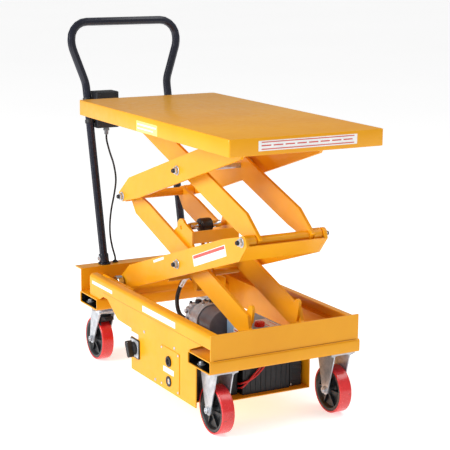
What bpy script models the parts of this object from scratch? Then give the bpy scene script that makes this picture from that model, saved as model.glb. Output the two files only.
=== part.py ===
"""Battery powered double scissor lift table: a wheeled base with a hydraulic power unit, two stacked
scissor stages, a lipped platform and a push handle. Units are metres, +Z is up, the handle is at -X."""

import math

import bmesh
import bpy
from mathutils import Matrix, Vector

# Driving dimensions -------------------------------------------------------------------------------
GAP = 0.0003                    # clearance between neighbouring solids
PART_Y = 0.01175                # sideways place of the design's middle plane, which centres the whole box
PLATE = 0.004                   # sheet thickness of the base and the platform

PLATFORM_X = (-0.4050, 0.6105)
PLATFORM_HALF_WIDTH = 0.254
PLATFORM_TOP = 0.889
PLATFORM_LIP = 0.0495

BASE_X = (-0.4127, 0.5155)
FRONT_PLATE_X = (0.5075, 0.5115)  # set back behind the front tube's round edge
END_HALF_WIDTH = 0.2533
END_TOP = 0.315
BEAM_Z = (0.1983, 0.2373)       # rectangular tubes that carry the casters
BEAM_LENGTH_X = 0.1394
BEAM_HALF_WIDTH = 0.257
RAIL_Z = (0.2700, 0.3110)
RAIL_X = (-0.345, FRONT_PLATE_X[0] - GAP)
RAIL_HALF_WIDTH = 0.250
RAIL_FLANGE = 0.028
FAR_PLATE_Z = 0.172             # lower edge of the far side plate

ARM_ANGLE = math.radians(20.25)  # lift angle of the arms as stored
ARM_REACH = 0.42835              # centre pivot to end pin
ARM_HALF_WIDTH = 0.038
ARM_TILT = 0.0313                # the plate's centre line leaves the pin line by this slope
ARM_PLATE = 0.010
OUTER_ARM_Y = 0.1277             # inner face of an outer arm
INNER_ARM_Y = 0.0845             # inner face of an inner arm
PIN_RADIUS = 0.008
FIXED_PIN_X = 0.4805
BASE_PIN_Z = 0.272
RISE = ARM_REACH * math.sin(ARM_ANGLE)
RUN = ARM_REACH * math.cos(ARM_ANGLE)
CENTRE_X = FIXED_PIN_X - RUN
ROLLER_PIN_X = FIXED_PIN_X - 2 * RUN
LOWER_CENTRE = Vector((CENTRE_X, 0, BASE_PIN_Z + RISE))
MID_Z = BASE_PIN_Z + 2 * RISE
UPPER_CENTRE = Vector((CENTRE_X, 0, BASE_PIN_Z + 3 * RISE))
TABLE_PIN_Z = BASE_PIN_Z + 4 * RISE

BASE_ROLLER_RADIUS = 0.025
BASE_ROLLER_Y = (0.1420, 0.1640)
TABLE_ROLLER_RADIUS = 0.0190
TABLE_ROLLER_Y = (0.0980, 0.1180)

RAM_FOOT = (-0.100, -0.070)      # in the lower outer arms' own axes, from the centre pivot
RAM_HEAD = (-0.105, 0.066)       # in the lower inner arms' own axes, from the centre pivot
RAM_BARREL_LENGTH = 0.125
RAM_BARREL_RADIUS = 0.024
RAM_ROD_RADIUS = 0.014
RAM_EYE_BORE = 0.0156            # wide enough for the eye's drift over the stroke

WHEEL_RADIUS = 0.0735
WHEEL_HALF_WIDTH = 0.021
WHEEL_Y = 0.2025
RIGID_WHEEL_X = 0.458
SWIVEL_X = -0.343
SWIVEL_TRAIL = 0.033
AXLE_RADIUS = 0.006

BOX_X = (-0.023, 0.4065)
BOX_FLOOR_Z = 0.069
BOX_FAR_Y = 0.150

HANDLE_RADIUS = 0.014
HANDLE_FOOT = Vector((-0.4354, 0.155, END_TOP + 0.0036))
HANDLE_KINK = Vector((-0.575, 0.155, 0.923))
HANDLE_WIDE = Vector((-0.5870, 0.200, 1.050))
HANDLE_TOP = Vector((-0.5965, 0.200, 1.131))
FLANGE_REACH = 0.0473

CONTROL_X = (-0.575, -0.515)
CONTROL_Y = (-0.1395, -0.0580)
CONTROL_Z = (0.773, 0.897)

CABLE_RADIUS = 0.0035
CABLE_ROUTE = ((-0.545, -0.093, 0.7465), (-0.545, -0.092, 0.725), (-0.541, -0.083, 0.685),
               (-0.532, -0.072, 0.640), (-0.520, -0.070, 0.590), (-0.509, -0.082, 0.540),
               (-0.499, -0.098, 0.490), (-0.488, -0.109, 0.440), (-0.474, -0.114, 0.400),
               (-0.456, -0.115, 0.365), (-0.441, -0.112, 0.3335), (-0.441, -0.112, 0.3160))

HOSE_RADIUS = 0.0070
HOSE_ROUTE = ((-0.0549, -0.018, 0.3366), (-0.0700, -0.019, 0.3350), (-0.0890, -0.022, 0.3240),
              (-0.1070, -0.026, 0.3010), (-0.1200, -0.030, 0.2750), (-0.1255, -0.033, 0.2480),
              (-0.1170, -0.036, 0.2230), (-0.0950, -0.040, 0.2070), (-0.0620, -0.045, 0.2030),
              (-0.0280, -0.049, 0.2060), (-0.0060, -0.050, 0.2090), (0.0115, -0.050, 0.2090))

YELLOW = (0.83, 0.37, 0.03, 1)
BLACK = (0.02, 0.02, 0.022, 1)
ZINC = (0.62, 0.63, 0.64, 1)
RED = (0.55, 0.02, 0.02, 1)
GREY = (0.30, 0.31, 0.33, 1)
BLUE_GREY = (0.35, 0.48, 0.60, 1)

parts = bpy.data.collections.new("scissor_lift_table")
guides = bpy.data.collections.new("guides")


# Building blocks ----------------------------------------------------------------------------------
def clear_scene():
    for old in list(bpy.data.objects):
        bpy.data.objects.remove(old, do_unlink=True)
    for collection in (parts, guides):
        bpy.context.scene.collection.children.link(collection)


def new_material(name, colour, roughness, metallic=0.0):
    material = bpy.data.materials.new(name)
    material.use_nodes = True
    shader = material.node_tree.nodes["Principled BSDF"]
    shader.inputs["Base Color"].default_value = colour
    shader.inputs["Roughness"].default_value = roughness
    shader.inputs["Metallic"].default_value = metallic
    return material


def pivot(name, place, parent=None, tilt=0.0):
    """An empty on a joint's axis; tilt turns what hangs on it about +Y."""
    empty = bpy.data.objects.new(name, None)
    guides.objects.link(empty)
    empty.location = place
    empty.rotation_euler = (0, tilt, 0)
    empty.parent = parent
    return empty


def add(name, mesh, material, parent, place=(0, 0, 0), rotation=(0, 0, 0)):
    """One named sub-part with its material, hung on an empty."""
    part = bpy.data.objects.new(name, mesh)
    parts.objects.link(part)
    part.location = place
    part.rotation_euler = rotation
    part.parent = parent
    mesh.materials.clear()
    mesh.materials.append(material)
    mesh.shade_smooth()
    mesh.set_sharp_from_angle(angle=math.radians(35))
    return part


def from_bmesh(name, work):
    mesh = bpy.data.meshes.new(name)
    work.to_mesh(mesh)
    work.free()
    return mesh


def box(low, high):
    """A box between two corners."""
    low, high = Vector(low), Vector(high)
    size = high - low
    work = bmesh.new()
    bmesh.ops.create_cube(work, size=1.0)
    bmesh.ops.scale(work, vec=size, verts=work.verts)
    bmesh.ops.translate(work, vec=(low + high) / 2, verts=work.verts)
    return from_bmesh("box", work)


def rod(radius, start, end, sides=16):
    """A round bar between two points."""
    start, end = Vector(start), Vector(end)
    along = end - start
    turn = Vector((0, 0, 1)).rotation_difference(along).to_matrix().to_4x4()
    work = bmesh.new()
    bmesh.ops.create_cone(work, cap_ends=True, segments=sides, radius1=radius, radius2=radius,
                          depth=along.length, matrix=Matrix.Translation((start + end) / 2) @ turn)
    return from_bmesh("rod", work)


def from_curve(curve):
    """The closed mesh of a curve, its caps welded on."""
    holder = bpy.data.objects.new("curve", curve)
    guides.objects.link(holder)
    graph = bpy.context.evaluated_depsgraph_get()
    mesh = bpy.data.meshes.new_from_object(holder.evaluated_get(graph))
    bpy.data.objects.remove(holder, do_unlink=True)
    work = bmesh.new()
    work.from_mesh(mesh)
    bmesh.ops.remove_doubles(work, verts=work.verts, dist=0.00002)
    work.to_mesh(mesh)
    work.free()
    return mesh


def plate(outlines, faces, plane="XZ"):
    """Flat outlines, the first the edge and the rest holes, filled between two positions across them."""
    curve = bpy.data.curves.new("plate", "CURVE")
    curve.dimensions = "2D"
    curve.fill_mode = "BOTH"
    curve.extrude = abs(faces[1] - faces[0]) / 2
    for outline in outlines:
        spline = curve.splines.new("POLY")
        spline.points.add(len(outline) - 1)
        for point, (across, up) in zip(spline.points, outline):
            point.co = (across, up, 0, 1)
        spline.use_cyclic_u = True
    mesh = from_curve(curve)
    middle = (faces[0] + faces[1]) / 2
    if plane == "XZ":
        mesh.transform(Matrix.Translation((0, middle, 0)) @ Matrix.Rotation(math.pi / 2, 4, "X"))
    elif plane == "YZ":
        swap = Matrix(((0, 0, 1, 0), (1, 0, 0, 0), (0, 1, 0, 0), (0, 0, 0, 1)))
        mesh.transform(Matrix.Translation((middle, 0, 0)) @ swap)
    else:
        mesh.transform(Matrix.Translation((0, 0, middle)))
    return mesh


def tube(points, radius, sides=2):
    """A bent round bar along a list of points."""
    curve = bpy.data.curves.new("tube", "CURVE")
    curve.dimensions = "3D"
    curve.bevel_depth = radius
    curve.bevel_resolution = sides
    curve.use_fill_caps = True
    spline = curve.splines.new("POLY")
    spline.points.add(len(points) - 1)
    for point, place in zip(spline.points, points):
        point.co = (*place, 1)
    return from_curve(curve)


def turned(name, profile, material, parent, place, steps=28, rotation=(math.pi / 2, 0, 0)):
    """A profile of (radius, height) turned about its axis; one that starts on the axis also ends on it."""
    work = bmesh.new()
    rim = [work.verts.new((radius, 0, height)) for radius, height in profile]
    ring = rim + rim[:1] if profile[0][0] else rim
    for first, second in zip(ring, ring[1:]):
        work.edges.new((first, second))
    part = add(name, from_bmesh(name, work), material, parent, place, rotation)
    screw = part.modifiers.new("turn", "SCREW")
    screw.steps = screw.render_steps = steps
    screw.use_merge_vertices = True
    screw.merge_threshold = 0.00001
    screw.use_smooth_shade = True
    return part


def circle(centre, radius, sides=16, start=0.0, sweep=2 * math.pi):
    """Points round a circle, or along an arc of it."""
    closed = abs(sweep) >= 2 * math.pi - 1e-6
    steps = sides if closed else sides - 1
    return [(centre[0] + radius * math.cos(start + sweep * step / steps),
             centre[1] + radius * math.sin(start + sweep * step / steps)) for step in range(sides)]


def rounded_box_outline(low, high, radius, sides=4):
    """A rectangle with round corners."""
    corners = (((high[0] - radius, high[1] - radius), 0.0), ((low[0] + radius, high[1] - radius), 0.5),
               ((low[0] + radius, low[1] + radius), 1.0), ((high[0] - radius, low[1] + radius), 1.5))
    return [point for centre, quarter in corners
            for point in circle(centre, radius, sides, quarter * math.pi, math.pi / 2)]


def combine(part, tools, operation):
    """Adds meshes to a part, or cuts them from it, in the part's own axes."""
    for index, mesh in enumerate(tools):
        tool = bpy.data.objects.new(f"{part.name}_{operation.lower()}_{index}", mesh)
        guides.objects.link(tool)
        tool.location = part.location
        tool.rotation_euler = part.rotation_euler
        tool.parent = part.parent
        tool.hide_render = True
        tool.display_type = "WIRE"
        boolean = part.modifiers.new(f"{operation.lower()}_{index}", "BOOLEAN")
        boolean.operation = operation
        boolean.solver = "EXACT"
        boolean.object = tool
    return part


def weld(part, *meshes):
    return combine(part, meshes, "UNION")


def cut(part, *meshes):
    return combine(part, meshes, "DIFFERENCE")


def soften(part, width, segments=1):
    """Rounded edges."""
    bevel = part.modifiers.new("edges", "BEVEL")
    bevel.width = width
    bevel.segments = segments
    bevel.limit_method = "ANGLE"
    bevel.angle_limit = math.radians(40)
    return part


def smooth_route(points, per_span):
    """A smooth curve through the route's own points."""
    route = []
    padded = [points[0], *points, points[-1]]
    for before, start, end, after in zip(padded, padded[1:], padded[2:], padded[3:]):
        p0, p1, p2, p3 = (Vector(point) for point in (before, start, end, after))
        for step in range(per_span):
            t = step / per_span
            route.append(0.5 * (2 * p1 + (p2 - p0) * t + (2 * p0 - 5 * p1 + 4 * p2 - p3) * t ** 2
                                + (3 * p1 - p0 - 3 * p2 + p3) * t ** 3))
    route.append(Vector(points[-1]))
    return route


def rounded_path(corners, radii, steps=5):
    """Straight runs joined by arcs of the given radii."""
    path = [Vector(corners[0])]
    for index, radius in enumerate(radii, start=1):
        corner = Vector(corners[index])
        back = (Vector(corners[index - 1]) - corner).normalized()
        ahead = (Vector(corners[index + 1]) - corner).normalized()
        half = back.angle(ahead) / 2
        tangent = radius / math.tan(half)
        centre = corner + (back + ahead).normalized() * radius / math.sin(half)
        start = corner + back * tangent - centre
        end = corner + ahead * tangent - centre
        for step in range(steps + 1):
            path.append(centre + start.slerp(end, step / steps).normalized() * radius
                        if step not in (0, steps) else centre + (start if step == 0 else end))
    path.append(Vector(corners[-1]))
    return path


def mirrored(side, low, high):
    """The span of y between two distances from the middle, on the near (-1) or far (+1) side."""
    return (-high, -low) if side < 0 else (low, high)


SIDES = (("near", -1), ("far", 1))


# Base frame ---------------------------------------------------------------------------------------
def make_side_rails(base, paint):
    """Channel rails with a round outer top edge; the plate under each is welded on along its lower lip."""
    z0, z1 = RAIL_Z
    radius = 0.012
    behind_beam = BASE_X[0] + BEAM_LENGTH_X + 0.002
    before_beam = BASE_X[1] - BEAM_LENGTH_X - GAP
    tail = [(-0.345, z0 + 0.004), (-0.345, BEAM_Z[1] + GAP), (behind_beam, BEAM_Z[1] + GAP)]
    nose = [(before_beam, 0.2385), (0.455, z0 + 0.001), (0.455, z0 + 0.004)]
    for side_name, side in SIDES:
        outer = RAIL_HALF_WIDTH
        inner = outer - RAIL_FLANGE
        arc = circle((outer - radius, z1 - radius), radius, 6, 0.0, math.pi / 2)
        inside_arc = circle((outer - radius, z1 - radius), radius - PLATE, 6, math.pi / 2, -math.pi / 2)
        outline = [(outer, z0), *arc, (inner, z1), (inner, z1 - PLATE), *inside_arc,
                   (outer - PLATE, z0 + PLATE), (inner, z0 + PLATE), (inner, z0)]
        outline = [(side * across, up) for across, up in outline]
        rail = add(f"side_rail_{side_name}", plate([outline], RAIL_X, "YZ"), paint, base)
        if side < 0:
            skirt = tail + [(-0.240, 0.254), (-0.206, 0.254), (-0.125, 0.205), (BOX_X[0], 0.202),
                            (BOX_X[0], BOX_FLOOR_Z), (0.4145, BOX_FLOOR_Z),
                            (0.4145, BEAM_Z[0] - GAP), (before_beam, BEAM_Z[0] - GAP)] + nose
        else:
            skirt = tail + [(behind_beam, FAR_PLATE_Z), (before_beam - 0.0015, FAR_PLATE_Z)] + nose
        faces = mirrored(side, outer - PLATE - 0.0006, outer - 0.0006)
        weld(rail, plate([skirt], faces))


def make_end_beams(base, paint):
    """Rectangular caster tubes, open at both ends, each with its upright end plate."""
    z0, z1 = BEAM_Z
    wall = 0.0035
    for name, x0 in (("front_end_beam", BASE_X[1] - BEAM_LENGTH_X), ("rear_end_beam", BASE_X[0])):
        outer = rounded_box_outline((x0, z0), (x0 + BEAM_LENGTH_X, z1), 0.006)
        inner = rounded_box_outline((x0 + wall, z0 + wall), (x0 + BEAM_LENGTH_X - wall, z1 - wall), 0.0025)
        beam = add(name, plate([outer, inner], (-BEAM_HALF_WIDTH, BEAM_HALF_WIDTH)), paint, base)
        if name.startswith("front"):
            weld(beam, box((FRONT_PLATE_X[0], -END_HALF_WIDTH, z1 - 0.003),
                           (FRONT_PLATE_X[1], END_HALF_WIDTH, END_TOP)))
        else:
            x1 = BASE_X[0]
            profile = [(x1 + 0.0005, z1 - 0.008), (x1 + PLATE, z1 - 0.008), (x1 + PLATE, END_TOP),
                       (x1 - FLANGE_REACH, END_TOP), (x1 - FLANGE_REACH, END_TOP - PLATE),
                       (x1 + 0.0005, END_TOP - PLATE)]
            weld(beam, plate([profile], (-END_HALF_WIDTH, END_HALF_WIDTH)))


def make_roller_tracks(base, paint):
    """Angles on which the lower stage's rollers run."""
    floor = BASE_PIN_Z - BASE_ROLLER_RADIUS - GAP
    z0, z1 = BEAM_Z[1] + GAP, 0.2880
    for side_name, side in SIDES:
        outline = [(0.1405, z0), (0.1740, z0), (0.1740, z1), (0.1700, z1), (0.1700, floor), (0.1405, floor)]
        outline = [(side * across, up) for across, up in outline]
        span = (BASE_X[0] + PLATE + GAP, -0.165)
        add(f"roller_track_{side_name}", plate([outline], span, "YZ"), paint, base)


def make_base_pivot_bracket(base, paint):
    """A foot plate and two ears that hold the fixed pivot of the lower stage."""
    z0 = BEAM_Z[1] + GAP
    foot = box((0.452, -0.118, z0), (FRONT_PLATE_X[0] - GAP, 0.118, z0 + 0.0045))
    bracket = add("base_pivot_bracket", foot, paint, base)
    pin = (FIXED_PIN_X, BASE_PIN_Z)
    ears = []
    for _, side in SIDES:
        outline = [(0.455, z0 + 0.001), (0.506, z0 + 0.001), *circle(pin, 0.021, 7, -0.15, math.pi + 0.3)]
        ears.append(plate([outline, circle(pin, PIN_RADIUS + GAP, 12)], mirrored(side, 0.0990, 0.1070)))
    weld(bracket, *ears)


# Casters ------------------------------------------------------------------------------------------
def wheel_profiles():
    """Closed profiles of the tread and the core, down their outer sides."""
    w = WHEEL_HALF_WIDTH
    r = WHEEL_RADIUS
    seat = 0.0665
    tread = [(r - 0.0035, w), (r - 0.0010, w - 0.0012), (r, w - 0.0040), (r, -w + 0.0040),
             (r - 0.0010, -w + 0.0012), (r - 0.0035, -w), (seat + GAP, -w + 0.0005), (seat + GAP, w - 0.0005)]
    hub_width = w + 0.003
    core = [(0.016, hub_width), (0.018, 0.012), (0.053, 0.010), (0.057, w - 0.002), (seat, w - 0.002),
            (seat, -w + 0.002), (0.057, -w + 0.002), (0.053, -0.010), (0.018, -0.012), (0.016, -hub_width),
            (AXLE_RADIUS + GAP, -hub_width), (AXLE_RADIUS + GAP, hub_width)]
    return tread, core


def make_wheel(tag, parent, materials, place):
    tread, core = wheel_profiles()
    hub = pivot(f"wheel_axis_{tag}", place, parent)
    turned(f"wheel_tread_{tag}", tread, materials["tread"], hub, (0, 0, 0), 28)
    turned(f"wheel_core_{tag}", core, materials["black"], hub, (0, 0, 0), 28)


def fork_cheek(side, neck_z, lean, roots, y_span):
    """One tapered cheek of a caster fork, from the crown down round the axle."""
    low = circle((lean, 0.0), 0.0155, 7, -math.pi, math.pi)
    outline = [(roots[0], neck_z), *low, (roots[1], neck_z)]
    return plate([outline, circle((lean, 0.0), AXLE_RADIUS - 0.001, 10)], mirrored(side, *y_span))


def axle_bolt(lean):
    """The axle with its hexagon head and nut, shared by both cheeks."""
    reach = WHEEL_HALF_WIDTH + 0.0125
    return (rod(AXLE_RADIUS, (lean, -reach, 0), (lean, reach, 0), 12),
            rod(0.0095, (lean, -reach - 0.004, 0), (lean, -reach + 0.0045, 0), 6),
            rod(0.0095, (lean, reach - 0.0045, 0), (lean, reach + 0.004, 0), 6))


CHEEK_Y = (WHEEL_HALF_WIDTH + 0.0045, WHEEL_HALF_WIDTH + 0.0085)


def make_rigid_casters(base, materials):
    """Fixed casters at the front: a plate, two cheeks and the axle."""
    top = BEAM_Z[0] - GAP - WHEEL_RADIUS
    for side_name, side in SIDES:
        axis = pivot(f"rigid_caster_{side_name}", (RIGID_WHEEL_X, side * WHEEL_Y, WHEEL_RADIUS), base)
        crown = box((-0.052, -0.042, top - 0.0045), (0.052, 0.042, top))
        fork = add(f"rigid_fork_{side_name}", crown, materials["zinc"], axis)
        cheeks = [fork_cheek(edge, top - 0.002, 0.0, (-0.049, 0.049), CHEEK_Y) for _, edge in SIDES]
        weld(fork, *cheeks, *axle_bolt(0.0))
        make_wheel(f"front_{side_name}", axis, materials, (0, 0, 0))


def make_swivel_casters(base, materials):
    """Swivel casters at the handle end: a top plate, a fork on its race, and a brake pedal."""
    top = BEAM_Z[0] - GAP - WHEEL_RADIUS
    for side_name, side in SIDES:
        axis = pivot(f"swivel_caster_{side_name}", (SWIVEL_X, side * WHEEL_Y, WHEEL_RADIUS), base)
        crown = box((-0.052, -0.042, top - 0.0045), (0.052, 0.042, top))
        top_plate = add(f"swivel_plate_{side_name}", crown, materials["zinc"], axis)
        weld(top_plate, rod(0.030, (0, 0, top - 0.014), (0, 0, top - 0.004), 20))
        neck = top - 0.014 - GAP
        fork = add(f"swivel_fork_{side_name}", rod(0.034, (0, 0, neck - 0.010), (0, 0, neck), 20),
                   materials["zinc"], axis)
        cheeks = [fork_cheek(edge, neck - 0.004, -SWIVEL_TRAIL, (-0.034, 0.036), CHEEK_Y)
                  for _, edge in SIDES]
        reach = CHEEK_Y[1] - 0.001
        saddle = box((-0.033, -reach, neck - 0.0085), (0.0340, reach, neck - 0.0045))
        weld(fork, saddle, *cheeks, *axle_bolt(-SWIVEL_TRAIL))
        make_wheel(f"rear_{side_name}", axis, materials, (-SWIVEL_TRAIL, 0, 0))
        hinge = pivot(f"brake_axis_{side_name}", (0.017, 0, neck - 0.021), axis)
        shoe = [(-0.0389, -0.0105), (-0.0294, -0.0124), (-0.0195, -0.0158), (-0.0103, -0.0203),
                (-0.0017, -0.0261), (0.0062, -0.0330), (0.0120, -0.0393), (0.0167, -0.0459),
                (0.0290, -0.0480), (0.0350, -0.0270), (0.0330, -0.0100), (0.0220, 0.0010),
                (0.0040, 0.0065), (-0.0100, 0.0030), (-0.0380, -0.0060)]
        pedal = add(f"brake_pedal_{side_name}", plate([shoe], (-0.019, 0.019)), materials["black"], hinge)
        soften(pedal, 0.001)
        weld(pedal, rod(0.0035, (0, -CHEEK_Y[0] + GAP, 0), (0, CHEEK_Y[0] - GAP, 0), 10))


# Power unit and its box ---------------------------------------------------------------------------
def make_battery_box(base, paint):
    """A tray under the base, open at the front; its near wall is the near side plate."""
    x0, x1 = BOX_X
    near = -RAIL_HALF_WIDTH + PLATE + 0.0012
    z0 = BOX_FLOOR_Z
    wheel_edge = 0.372
    floor = [(x0, near), (wheel_edge, near), (wheel_edge, -0.162), (x1, -0.162), (x1, BOX_FAR_Y),
             (x0, BOX_FAR_Y)]
    tray = add("battery_box", plate([floor], (z0, z0 + 0.003), "XY"), paint, base)
    top = BEAM_Z[0] - GAP
    weld(tray, box((x0, BOX_FAR_Y - 0.003, z0 + 0.001), (x1, BOX_FAR_Y + 0.0003, top)),
         box((x0 - 0.0003, near, z0 + 0.001), (x0 + 0.003, BOX_FAR_Y - 0.001, 0.174)))


def make_batteries(base, materials):
    """Two sealed batteries side by side, each with a raised lid."""
    z0 = BOX_FLOOR_Z + 0.003 + GAP
    for side_name, y0, y1, x1 in (("near", -0.237, -0.082, 0.367), ("far", -0.074, 0.090, 0.385)):
        block = box((0.205, y0, z0), (x1, y1, z0 + 0.084))
        case = add(f"battery_{side_name}", block, materials["black"], base)
        lid = box((0.203, y0 - 0.002, z0 + 0.082), (x1 + 0.002, y1 + 0.002, z0 + 0.096))
        weld(case, lid)


def make_panel_fittings(base, materials):
    """What sits on the near side plate: the access cover, the charging socket, the gauge and the switch."""
    face = -RAIL_HALF_WIDTH + 0.0006 - GAP
    cover_outline = rounded_box_outline((0.190, 0.078), (0.312, 0.206), 0.004, 3)
    socket_at, gauge_at, hole_at = (0.245, 0.166), (0.245, 0.103), 0.014
    holes = [circle(socket_at, hole_at, 20), circle(gauge_at, hole_at, 20)]
    add("access_cover", plate([cover_outline, *holes], (face - 0.0015, face)), materials["paint"], base)
    for name, (x, z), reach in (("charge_socket", socket_at, 0.005), ("battery_gauge", gauge_at, 0.004)):
        profile = [(0.0, reach - 0.0025), (0.0085, reach - 0.0025), (0.0095, reach), (0.0165, reach),
                   (0.0165, 0.0018), (0.0135, 0.0018), (0.0135, 0.0), (0.0, 0.0)]
        turned(name, profile, materials["black"], base, (x, face, z), 20)
    plate_outline = rounded_box_outline((-0.022, 0.114), (0.040, 0.176), 0.004, 3)
    add("switch_plate", plate([plate_outline], (face - 0.004, face)), materials["black"], base)
    knob_axis = pivot("switch_axis", (0.009, face - 0.004 - GAP, 0.145), base)
    knob = add("switch_knob", rod(0.020, (0, 0, 0), (0, -0.008, 0), 20), materials["black"], knob_axis)
    grip = box((-0.0075, -0.0265, -0.026), (0.0075, -0.007, 0.026))
    weld(knob, grip)


def make_power_unit(base, materials):
    """Pump motor, valve block and oil tank in line along X, beside the space the ram folds into."""
    y, z = -0.034, 0.234
    x0, x1, x2 = 0.012, 0.060, 0.115
    motor = add("pump_motor", rod(0.049, (x1, y, z), (x2 - 0.012, y, z), 28), materials["grey"], base)
    weld(motor, rod(0.051, (x2 - 0.013, y, z), (x2, y, z), 28))
    block = add("valve_block", box((x0, y - 0.045, 0.182), (x1 - GAP, y + 0.045, 0.274)),
                materials["zinc"], base)
    weld(block, rod(0.011, (0.038, y - 0.022, 0.273), (0.038, y - 0.022, 0.285), 12))
    tank = add("oil_tank", box((0.200, -0.030, 0.1850), (0.3745, 0.075, 0.2700)), materials["blue_grey"],
               base)
    soften(tank, 0.010, 3)
    cap = rod(0.016, (0.350, 0.0, 0.270 + GAP), (0.350, 0.0, 0.286), 16)
    add("oil_cap", cap, materials["red"], base)


# Handle and controls ------------------------------------------------------------------------------
def make_handle(base, materials):
    """One bent tube from flange to flange over the top bar."""
    left = [HANDLE_FOOT, HANDLE_KINK, HANDLE_WIDE, HANDLE_TOP]
    near = [Vector((point.x, -point.y, point.z)) for point in left]
    corners = near + left[::-1]
    path = rounded_path(corners, (0.10, 0.10, 0.060, 0.060, 0.10, 0.10))
    add("handle_tube", tube(path, HANDLE_RADIUS, 3), materials["gloss_black"], base)


def make_controls(base, materials):
    """Push button box on the near leg, its cable gland, its two buttons and the control cable."""
    x0, x1 = CONTROL_X
    y0, y1 = CONTROL_Y
    z0, z1 = CONTROL_Z
    case = add("control_box", box((x0, y0, z0), (x1, y1, z1)), materials["black"], base)
    soften(case, 0.003, 2)
    button_y = (y0 + y1) / 2
    for name, z in (("raise_button", z1 - 0.038), ("lower_button", z0 + 0.038)):
        cut(case, rod(0.0125, (x0 - 0.001, button_y, z), (x0 + 0.012, button_y, z), 20))
        axis = pivot(f"{name}_axis", (x0, button_y, z), base)
        add(name, rod(0.0115, (-0.006, 0, 0), (0.0055, 0, 0), 20), materials["black"], axis)
    exit_x, exit_y, exit_z = CABLE_ROUTE[0]
    gland = add("cable_gland", rod(0.0095, (exit_x, exit_y, z0 - 0.013), (exit_x, exit_y, z0 - GAP), 12),
                materials["grey"], base)
    weld(gland, rod(0.0070, (exit_x, exit_y, exit_z + GAP), (exit_x, exit_y, z0 - 0.012), 12))
    cable = tube(smooth_route(CABLE_ROUTE, 4), CABLE_RADIUS)
    add("control_cable", cable, materials["black"], base)


# Scissor stages -----------------------------------------------------------------------------------
def arm_outline(past=0.0, nose=0.0175):
    """An arm with its lower end at -x, in pin line axes. The plate drops away from the pin line towards
    its upper end, and both ends are bevelled on the side that faces the next arm. The round upper end
    has its centre a little past the pin where the arm carries a joint between the stages."""
    def edge(s, side):
        return side * ARM_HALF_WIDTH - ARM_TILT * s

    reach = ARM_REACH
    upper = [(0.395, edge(0.395, -1)), (0.452, -0.018), *circle((reach + past, 0), nose, 6, -0.35, 2.35),
             (0.320, edge(0.320, 1))]
    lower = [(-0.355, edge(-0.355, 1)), (-0.452, 0.018),
             *circle((-reach, 0), 0.0175, 6, math.pi - 0.35, 2.35), (-0.320, edge(-0.320, -1))]
    return [*upper, *lower]


def hinge_holes(*places):
    return [circle((s, 0), PIN_RADIUS + GAP, 12, 0.2 * index) for index, s in enumerate(places)]


def shifted(outline, by, flip=False):
    """An outline moved along the arm, after mirroring end for end where the arm leans the other way."""
    points = [(-s if flip else s, n) for s, n in outline]
    if flip:
        points.reverse()
    return [(s + by, n) for s, n in points]


def hub(s, half_length, radius=0.0140):
    """A cross tube round a shaft, bored clear of it."""
    ring = [circle((s, 0), radius, 16), circle((s, 0), PIN_RADIUS + 0.0015, 12)]
    return plate(ring, (-half_length, half_length))


def make_lower_inner_frame(base, paint):
    """Inner arms of the lower stage on the fixed base pivot, with the bracket for the ram's head."""
    axis = pivot("lower_inner_axis", (FIXED_PIN_X, 0, BASE_PIN_Z), base, ARM_ANGLE)
    reach = ARM_REACH
    outline = arm_outline()
    outline[9:17] = [(-0.372, 0.0496), (-0.392, 0.0180), *circle((-reach, 0), 0.0175, 8, 1.90, 3.24)]
    outline = shifted(outline, -reach, flip=True)
    holes = hinge_holes(0.0, -reach, -2 * reach)
    near, far = (mirrored(side, INNER_ARM_Y, INNER_ARM_Y + ARM_PLATE) for _, side in SIDES)
    frame = add("lower_inner_frame", plate([outline, *holes], near), paint, axis)
    pieces = [plate([outline, *holes], far), hub(0.0, INNER_ARM_Y + 0.003),
              hub(-2 * reach, OUTER_ARM_Y - 0.001)]
    head = (RAM_HEAD[0] - reach, RAM_HEAD[1])
    inner_face, on_arm = INNER_ARM_Y - GAP, INNER_ARM_Y + 0.0005
    cheek = [(head[0] - 0.045, 0.026), (head[0] + 0.130, 0.026), (head[0] + 0.085, 0.052),
             (head[0] + 0.071, 0.0905), *circle(head, 0.028, 8, 1.0, 2.6)]
    lobe = [(-0.100, 0.028), (-0.080, 0.052), *circle((-0.063, 0.066), 0.012, 6, 2.8, -2.8), (-0.045, 0.028)]
    for _, side in SIDES:
        pieces.append(plate([cheek, circle(head, PIN_RADIUS - 0.001, 12)],
                            mirrored(side, INNER_ARM_Y - 0.008, inner_face)))
        pieces.append(plate([lobe], mirrored(side, INNER_ARM_Y - 0.009, inner_face)))
        for s0, s1 in ((head[0] - 0.034, head[0] + 0.116), (-0.098, -0.047)):
            root = [(s0, 0.010), (s1, 0.010), (s1, 0.0300), (s0, 0.0300)]
            pieces.append(plate([root], mirrored(side, INNER_ARM_Y - 0.0075, on_arm)))
    wide = INNER_ARM_Y - 0.007
    front = [(head[0] + 0.077, 0.052), (head[0] + 0.084, 0.0545), (head[0] + 0.070, 0.0895),
             (head[0] + 0.063, 0.087)]
    pieces.append(plate([front], (-wide, wide)))
    pieces.append(rod(PIN_RADIUS, (head[0], -wide - 0.004, head[1]), (head[0], wide + 0.004, head[1]), 16))
    weld(frame, *pieces)
    return axis


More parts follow.
